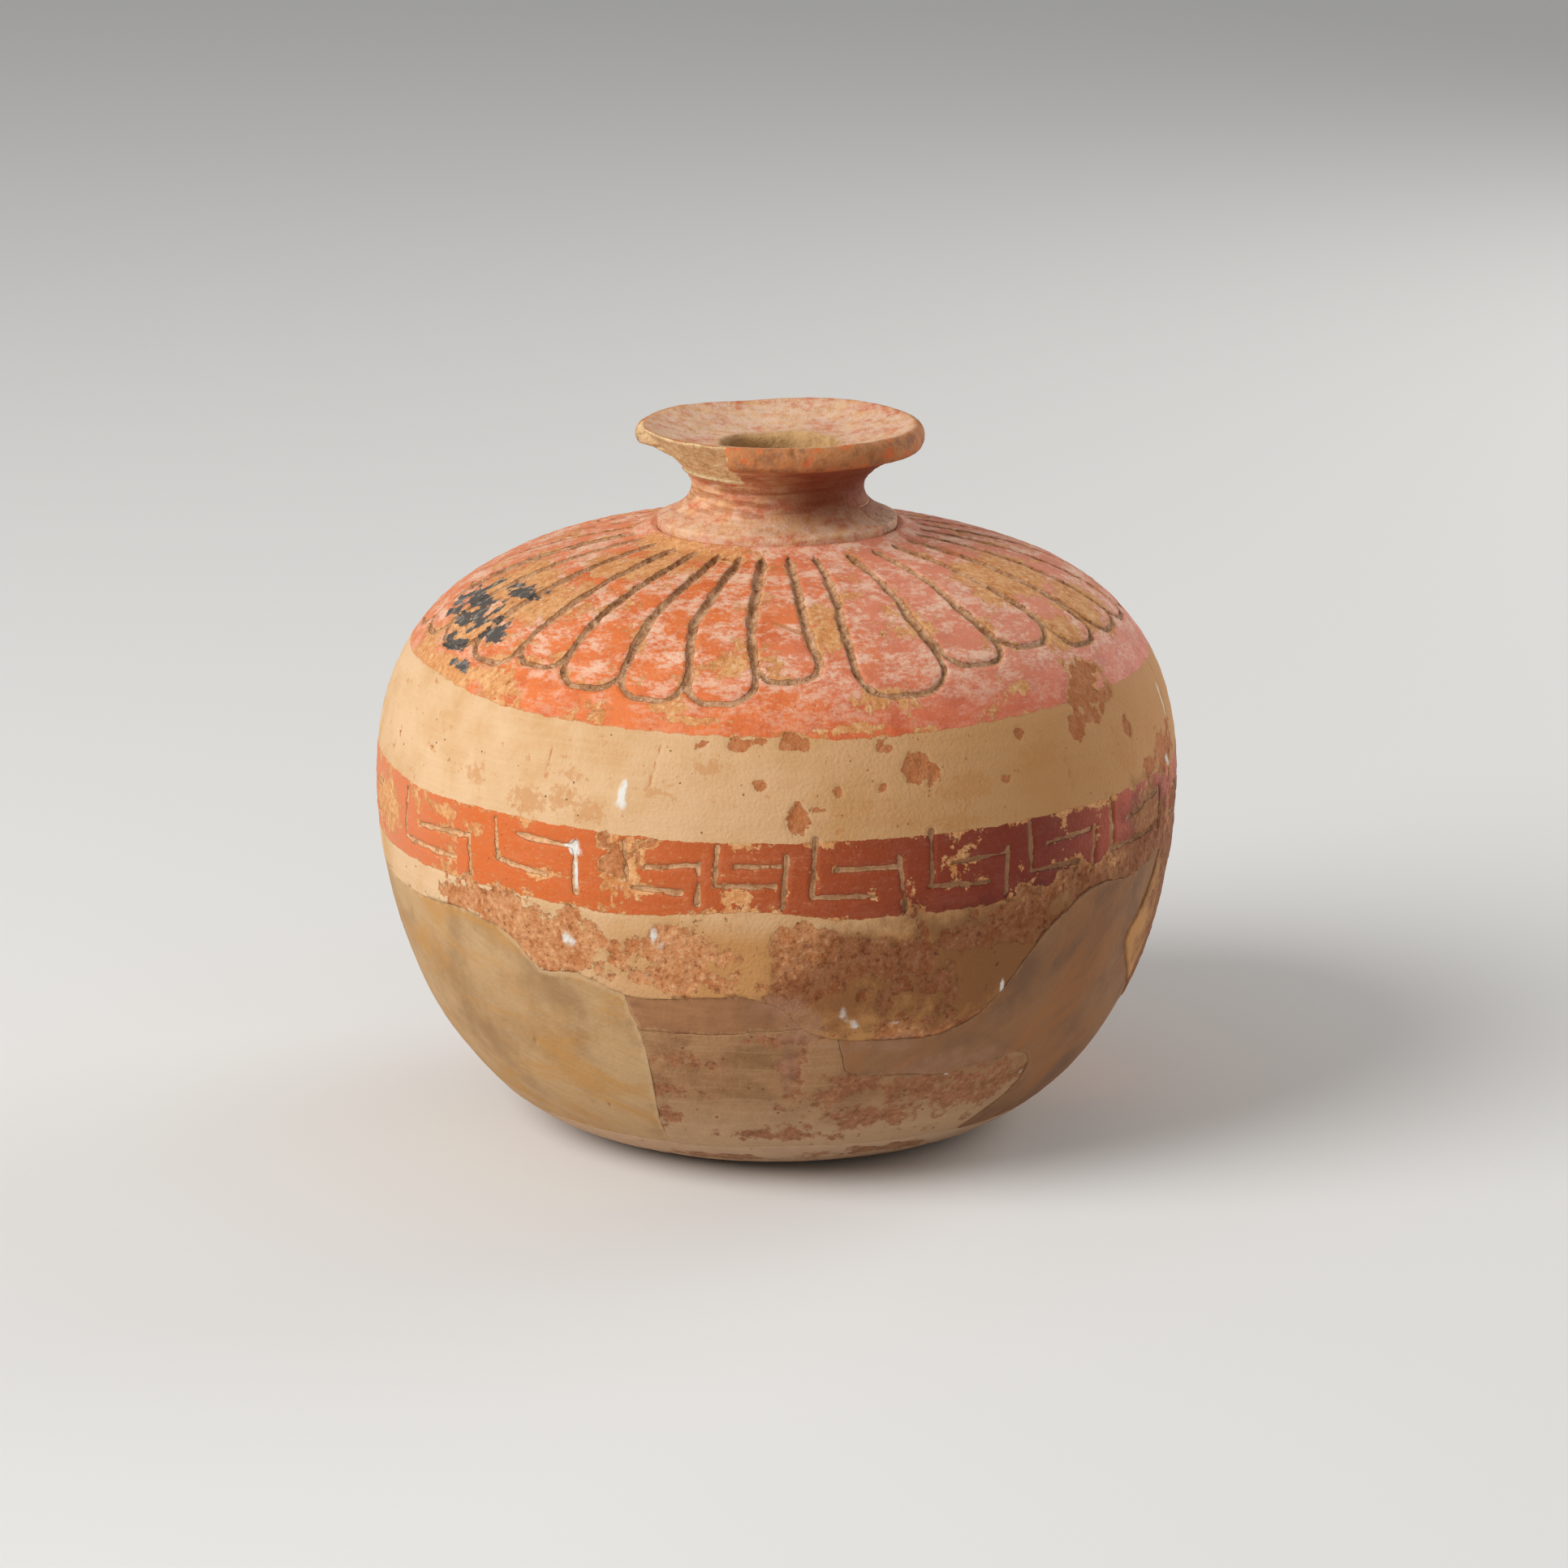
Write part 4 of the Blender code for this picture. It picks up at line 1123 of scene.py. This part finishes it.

    # chalky bloom in fine level flecks, heaviest on the shoulder; its pale haze grows up the tongues,
    # partly as painted light from above
    flecksAt = add("VectorMath", [spot, (1, 1, 2.6)], operation="MULTIPLY")
    flecks = add("TexNoise", {"Vector": flecksAt, "Scale": perMm(1.05), "Detail": 5.0, "Roughness": 0.72})
    clouds = add("TexNoise", {"Vector": flecksAt, "Scale": perMm(5.0), "Detail": 3.0})
    patches = add("Math", [clouds, 0.9, flecks], operation="MULTIPLY_ADD")
    bloom = add("MapRange", [patches, 0.86, 1.15], interpolation_type="SMOOTHSTEP")
    # partly painted light: the haze and bloom grow up the shoulder and lighten the upward-facing tongues
    upperBloomAndLight = add("MapRange", [height, 0.068, 0.075, 0.32, 1.42])
    onBelt = add("Math", [grown["upper"], 0.82, 0.18], operation="MULTIPLY_ADD")
    share = add("Math", [grown["rightward"], -0.04, 0.6], operation="MULTIPLY_ADD")
    haze = add("Math", [grown["rightward"], 0.25, 0.05], operation="MULTIPLY_ADD")
    for factor in (upperBloomAndLight, onBelt):
        share = add("Math", [share, factor], operation="MULTIPLY")
        haze = add("Math", [haze, factor], operation="MULTIPLY")
    bloom = add("Math", [bloom, share], operation="MULTIPLY")
    for part in ("nearNeck", "farLeft", "backLeft"):
        haze = add("Math", [haze, grown[part]], operation="MAXIMUM")
    for share, colour in ((haze, hue["haze"]), (bloom, hue["bloom"])):
        red = add("Mix", {0: share, 6: red, 7: colour}, 2, data_type="RGBA")

    # rubbed through to the ground in fine flecks, most on the left
    rubbed = add("MapRange", [flecks, 0.57, 0.66, 0, 0.7])
    leftward = add("Math", [1.0, grown["beltward"]], operation="SUBTRACT")
    rubbed = add("Math", [rubbed, leftward], operation="MULTIPLY")
    thin = add("Math", [thin, rubbed], operation="MAXIMUM")
    redHere = inRed
    for gone in (thin, nearLost):
        left = add("Math", [1.0, gone], operation="SUBTRACT")
        redHere = add("Math", [redHere, left], operation="MULTIPLY")

    # incised strokes and scratches: sandy clay, darker between the grains, partly dirt and partly painted
    # shade in the cuts
    groove = sandy(add, hue["groove"], 0.9)[0]
    grooveHere = frayed(add, "tongueCut", 1.0, 0.9, 1.15, 0.85)
    keyTone = sandy(add, hue["key"], 0.9)[0]
    # painted shade: the key strokes are darker to the right and lifted again at the far right
    keyShade = add("Math", [grown["browner"], grown["farRight"]], operation="SUBTRACT")
    keyTone = add("Mix", {0: keyShade, 6: keyTone, 7: hue["keyRightShaded"]}, 2, data_type="RGBA")
    keyHere = frayed(add, "keyCut", 1.2, 1.0, 1.15, 0.85)
    scratchHere = frayed(add, "scratch", 0.5, 1.2, 0.26, 0.12)
    scratchHere = add("Math", [scratchHere, 0.75], operation="MULTIPLY")
    soot = mottled(add, *hue["soot"], 1.4, 0.48, 0.72)
    sootHere = frayed(add, "soot", 1.8, 1.1, 0.22, 0.32)
    surface = under
    for share, colour in ((redHere, red), (lost, clay), (grooveHere, groove), (keyHere, keyTone),
                          (scratchHere, hue["clay"][1]), (sootHere, soot)):
        surface = add("Mix", {0: share, 6: surface, 7: colour}, 2, data_type="RGBA")
    # darker, greyer patches low on the body, multiplied over the colour
    lowDarkeningHere = frayed(add, "lowDarkening", 1.2, 2.0, -0.35, 0.4)
    surface = add("Mix", {0: lowDarkeningHere, 6: surface, 7: hue["lowDarkening"]}, 2, data_type="RGBA",
                  blend_type="MULTIPLY")
    surface = smeared(add, surface)
    plasterHere = frayed(add, "plasterDab", 0.5, 1.0, 0.0, 0.45)
    surface = add("Mix", {0: plasterHere, 6: surface, 7: hue["plaster"]}, 2, data_type="RGBA")
    outside = add("Attribute", out="Fac", attribute_name="outside")
    surface = add("Mix", {0: outside, 6: hue["inside"], 7: surface}, 2, data_type="RGBA")

    roughness = add("MapRange", [redHere, 0, 1, 0.86, 0.62])
    bare = add("Math", [inRed, thin], operation="MULTIPLY")
    bare = add("Math", [bare, 0.5], operation="MULTIPLY")
    for other in (lost, grooveHere):
        bare = add("Math", [bare, other], operation="MAXIMUM")
    sand = add("Math", [grains, bare], operation="MULTIPLY")
    relief = add("Math", [sand, 1.6], operation="MULTIPLY")
    for part, rise in ((grit, 0.8), (grooveHere, -1.3), (keyHere, -1.4), (wiped, 0.12), (redHere, 0.25),
                       (lost, -1.1), (pits, -0.6)):
        relief = add("Math", [part, rise, relief], operation="MULTIPLY_ADD")
    finishMatte(add, surface, roughness, relief, 0.17)
    return material


# Earthenware with most of its slip rubbed away: dirty tan with sandy red patches
rubbedLooks = {
    "lowerFrontSherd": {"material": "rubbedEarthenware", "slip": ("A87C55", "8F6743"), "pale": "B8936C",
                        "low": "C8A682", "clay": ("A26845", "8E5536", "6C3E26", "BC8C68"),
                        "share": (0.4, 0.66)},
    "baseSherd": {"material": "rubbedEarthenwareBase", "slip": ("BE9670", "A57A58"), "pale": "CFB08E",
                  "low": "CBAA8C", "clay": ("A87450", "93603F", "70452C", "CCA27C"), "share": (0.4, 0.7)},
}


def rubbedEarthenware(look):
    material, add = newMaterial(look["material"])
    hue = hues({part: look[part] for part in ("slip", "pale", "low", "clay")})
    spot = add("TexCoord", out="Object")
    grit = add("TexNoise", {"Vector": spot, "Scale": perMm(0.5), "Detail": 4.0})
    slip = mottled(add, *hue["slip"], 6.0, *look["share"])
    wiped = streaks(add, 2.0, 9.0, 0.8)
    pale = add("MapRange", [wiped, 0.5, 0.72, 0, 0.5])
    height = add("SeparateXYZ", [spot], "Z")
    low = add("MapRange", [height, 0.017, 0.009, 0, 0.6])
    for share, colour in ((pale, hue["pale"]), (low, hue["low"])):
        slip = add("Mix", {0: share, 6: slip, 7: colour}, 2, data_type="RGBA")
    slip, pits = speckled(add, slip, hue["clay"][1], 1.9, 0.28, 0.4)
    clay, grains = sandy(add, hue["clay"], 0.8)
    lost = frayed(add, "slipLost", 2.0, 1.3, 0.0, 0.25)
    lost = add("Math", [lost, 0.85], operation="MULTIPLY")
    surface = add("Mix", {0: lost, 6: slip, 7: clay}, 2, data_type="RGBA")
    surface = smeared(add, surface)
    plasterHere = frayed(add, "plasterDab", 0.5, 1.0, 0.0, 0.6)
    surface = add("Mix", {0: plasterHere, 6: surface, 7: linear(slipLook["plaster"])}, 2, data_type="RGBA")
    outside = add("Attribute", out="Fac", attribute_name="outside")
    surface = add("Mix", {0: outside, 6: linear(slipLook["inside"]), 7: surface}, 2, data_type="RGBA")
    relief = add("Math", [grains, lost], operation="MULTIPLY")
    for part, rise in ((grit, 0.8), (lost, -0.5), (pits, -0.5)):
        relief = add("Math", [part, rise, relief], operation="MULTIPLY_ADD")
    finishMatte(add, surface, 0.88, relief, 0.16)
    return material


# Gypsum plaster, smoothed while wet and toned with thin brushed colour: dull, cloudy, paler at its rim
fillLooks = {
    "leftFill": {"material": "tonedPlasterOchre", "tone": "BF9A6E", "deep": "9E7A52", "glaze": "BC8848",
                 "rim": "C9A67C", "rimWidth": 1.0, "angle": 24.0, "glazeShare": (0.46, 0.62)},
    "centreFill": {"material": "tonedPlasterBrown", "tone": "A0704A", "deep": "855A3E", "glaze": "B07C52",
                   "rim": "B88C62", "rimWidth": 0.6, "angle": 3.0, "glazeShare": (0.48, 0.66)},
    "rightFill": {"material": "tonedPlasterOlive", "tone": "9A6E4A", "deep": "7F5B41", "glaze": "A36A3D",
                  "rim": "A07654", "rimWidth": 0.6, "angle": -36.0, "glazeShare": (0.48, 0.64)},
}
fillSpecks = {"pit": "5A4229", "hole": "4A3823"}


def tonedPlaster(look):
    material, add = newMaterial(look["material"])
    hue = hues(dict({part: look[part] for part in ("tone", "deep", "glaze", "rim")}, **fillSpecks))
    spot = add("TexCoord", out="Object")
    tone = mottled(add, hue["tone"], hue["deep"], 14.0, 0.4, 0.66)
    fine = streaks(add, look["angle"], 8.0, 0.7)
    brushed = add("MapRange", [fine, 0.45, 0.75, 0, 0.35])
    wash = streaks(add, look["angle"] - 12, 20.0, 7.0)
    glazed = add("MapRange", [wash, look["glazeShare"][0], look["glazeShare"][1], 0, 0.7])
    for share, colour in ((brushed, hue["deep"]), (glazed, hue["glaze"])):
        tone = add("Mix", {0: share, 6: tone, 7: colour}, 2, data_type="RGBA")
    tone, pits = speckled(add, tone, hue["pit"], 4.5, 0.26, 0.2)
    holes = frayed(add, "slipLost", 0.4, 0.8, 0.45, 0.6)
    rim = frayed(add, "edge", 2.2, 3.5, look["rimWidth"], look["rimWidth"] * 0.3)
    rim = add("Math", [rim, 0.6], operation="MULTIPLY")
    for share, colour in ((holes, hue["hole"]), (rim, hue["rim"])):
        tone = add("Mix", {0: share, 6: tone, 7: colour}, 2, data_type="RGBA")
    surface = smeared(add, tone)
    relief = add("TexNoise", {"Vector": spot, "Scale": perMm(0.6), "Detail": 4.0})
    for part, rise in ((fine, 0.8), (pits, -1.0)):
        relief = add("Math", [part, rise, relief], operation="MULTIPLY_ADD")
    finishMatte(add, surface, 0.8, relief, 0.08)
    return material


# Thrown earthenware with a rubbed red wash: pink over tan, brown at the lip's bead, sandy at the loss
neckLook = {"buff": ("DCAC7C", "C48C5C"), "wash": ("C9704F", "B9552F"), "bead": ("B87440", "8A5430"),
            "bloom": "DEBCA2", "orange": "D0622A", "line": "945534", "shade": "7E381C",
            "bore": ("C79E6B", "9E764A"), "sand": ("DDBC8E", "CBA673", "A98254", "EBD3AE")}
collarLook = dict(neckLook, wash=("A8634C", "96543A"), buff=("B58A60", "96704C"))


def thrownNeck(name, look):
    material, add = newMaterial(name)
    hue = hues(look)
    spot = add("TexCoord", out="Object")
    place = add("Attribute", out="Fac", attribute_name="neckPlace")
    across = add("SeparateXYZ", [spot], "X")
    grit = add("TexNoise", {"Vector": spot, "Scale": perMm(0.5), "Detail": 4.0})

    # shares that grow along the neck's section or across it: what they follow, start, end and the most
    stretches = {"dish": (place, 2.05, 1.9, 0.10), "collar": (place, 4.2, 4.7, 0.07),
                 "under": (place, 2.9, 3.1, 1.0), "above": (place, 5.0, 4.1, 1.0),
                 "lipShadow": (across, -0.006, 0.005, 0.9), "beadIn": (place, 2.0, 2.15, 1.0),
                 "beadOut": (place, 3.3, 2.95, 1.0), "bore": (place, 1.08, 0.95, 1.0)}
    grown = {}
    for part, (value, start, end, most) in stretches.items():
        grown[part] = add("MapRange", [value, start, end, 0, most])

    buff = mottled(add, *hue["buff"], 2.4, 0.4, 0.7)
    wash = mottled(add, *hue["wash"], 5.0, 0.42, 0.66)
    level = add("VectorMath", [spot, (1, 1, 2.2)], operation="MULTIPLY")
    worn = add("TexNoise", {"Vector": level, "Scale": perMm(4.2), "Detail": 7.0, "Roughness": 0.74})
    washHere = add("MapRange", [worn, 0.43, 0.62, 0, 0.85], interpolation_type="SMOOTHSTEP")

    # chalky bloom, most in the dish and on the collar
    chalky = add("TexNoise", {"Vector": spot, "Scale": perMm(1.6), "Detail": 6.0, "Roughness": 0.76})
    for part in ("dish", "collar"):
        chalky = add("Math", [chalky, grown[part]], operation="ADD")
    chalkHere = add("MapRange", [chalky, 0.44, 0.72, 0, 0.85], interpolation_type="SMOOTHSTEP")

    # wheel lines under the lip, and a painted shadow of the lip on the right side
    level = add("VectorMath", [spot, (0.12, 0.12, 1)], operation="MULTIPLY")
    lines = add("TexNoise", {"Vector": level, "Scale": perMm(0.75), "Detail": 3.0})
    lines = add("MapRange", [lines, 0.46, 0.62, 0, 0.7])
    waist = add("Math", [grown["under"], grown["above"]], operation="MULTIPLY")
    lines = add("Math", [lines, waist], operation="MULTIPLY")
    # painted shadow: the waist and upper collar are darker to the right, under the lip
    lipShadow = add("Math", [grown["lipShadow"], waist], operation="MULTIPLY")
    bead = mottled(add, *hue["bead"], 2.0, 0.42, 0.68)
    bead = mottled(add, bead, hue["orange"], 1.8, 0.56, 0.62)
    beadHere = add("Math", [grown["beadIn"], grown["beadOut"]], operation="MULTIPLY")
    beadHere = add("Math", [beadHere, 0.85], operation="MULTIPLY")
    sand, grains = sandy(add, hue["sand"], 0.8)
    sandHere = frayed(add, "lipLoss", 0.12, 0.6, 0.02, 0.08)
    bore = mottled(add, *hue["bore"], 3.0, 0.4, 0.7)
    surface = buff
    for share, colour in ((washHere, wash), (chalkHere, hue["bloom"]), (lines, hue["line"]),
                          (lipShadow, hue["shade"]), (beadHere, bead), (sandHere, sand),
                          (grown["bore"], bore)):
        surface = add("Mix", {0: share, 6: surface, 7: colour}, 2, data_type="RGBA")
    relief = add("Math", [grains, sandHere, grit], operation="MULTIPLY_ADD")
    finishMatte(add, surface, 0.82, relief, 0.16)
    return material


finishes = {"frontBodySherd": slippedClay("slippedEarthenware"),
            "backBodySherd": slippedClay("slippedEarthenwareBack"),
            "neckAndMouth": thrownNeck("thrownEarthenwareNeck", neckLook),
            "collarFill": thrownNeck("tonedPlasterCollar", collarLook)}
for name, look in rubbedLooks.items():
    finishes[name] = rubbedEarthenware(look)
for name, look in fillLooks.items():
    finishes[name] = tonedPlaster(look)
neckPieces = {"neckAndMouth": {"node": "neck_and_mouth", "slot": "neck_clay"},
              "collarFill": {"node": "collar_fill", "slot": "collar_brown_fill"}}
for name, facts in {**wallPieces, **neckPieces}.items():
    piece = pieces[name]
    piece.data.materials.clear()
    piece.data.materials.append(finishes[name])
    piece.data.polygons.foreach_set("use_smooth", [True] * len(piece.data.polygons))
    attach(piece, "root")
    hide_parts(facts["node"])
print("materials set on", len(pieces), "pieces")


# Floor, light and camera
studio = {"floorHalf": 3.0, "floorColour": "E3E2DF", "aimHeight": 0.045, "fillLevel": 0.345,
          "lamps": {"key": {"place": (-0.92, -0.59, 0.84), "size": 0.95, "power": 17.4},
                    "rim": {"place": (0.78, 0.59, 0.32), "size": 0.7, "power": 4.8}},
          "pitch": 14.4, "distance": 0.75735, "aim": (0.00099, 0, 0.04766), "lens": 121.12, "sensor": 36.0}
bm = bmesh.new()
bmesh.ops.create_grid(bm, x_segments=1, y_segments=1, size=studio["floorHalf"])
floor = meshObject("floor", bm)
floorFinish, add = newMaterial("paintedStudioFloor")
floorShader = add("BsdfPrincipled", {"Base Color": linear(studio["floorColour"]), "Roughness": 0.9,
                                     "Specular IOR Level": 0.1})
add("OutputMaterial", {"Surface": floorShader})
floor.data.materials.append(floorFinish)

for name, facts in studio["lamps"].items():
    lampData = bpy.data.lights.new(name, "AREA")
    lampData.shape = "DISK"
    lampData.size = facts["size"]
    lampData.energy = facts["power"]
    lamp = bpy.data.objects.new(name, lampData)
    lamp.location = facts["place"]
    toJar = Vector((0, 0, studio["aimHeight"])) - lamp.location
    lamp.rotation_euler = toJar.to_track_quat("-Z", "Y").to_euler()
    bpy.context.scene.collection.objects.link(lamp)

world = bpy.data.worlds.new("softRoom")
world.use_nodes = True
background = world.node_tree.nodes["Background"]
background.inputs["Color"].default_value = (1, 1, 1, 1)
background.inputs["Strength"].default_value = studio["fillLevel"]
bpy.context.scene.world = world

cameraData = bpy.data.cameras.new("camera")
cameraData.lens = studio["lens"]
cameraData.sensor_width = studio["sensor"]
camera = bpy.data.objects.new("camera", cameraData)
tilt = math.radians(studio["pitch"])
aim = Vector(studio["aim"])
camera.location = aim + Vector((0, -math.cos(tilt), math.sin(tilt))) * studio["distance"]
camera.rotation_euler = (math.pi / 2 - tilt, 0, 0)
bpy.context.scene.collection.objects.link(camera)
bpy.context.scene.camera = camera
bpy.context.scene.view_settings.view_transform = "Standard"

print("scene ready")
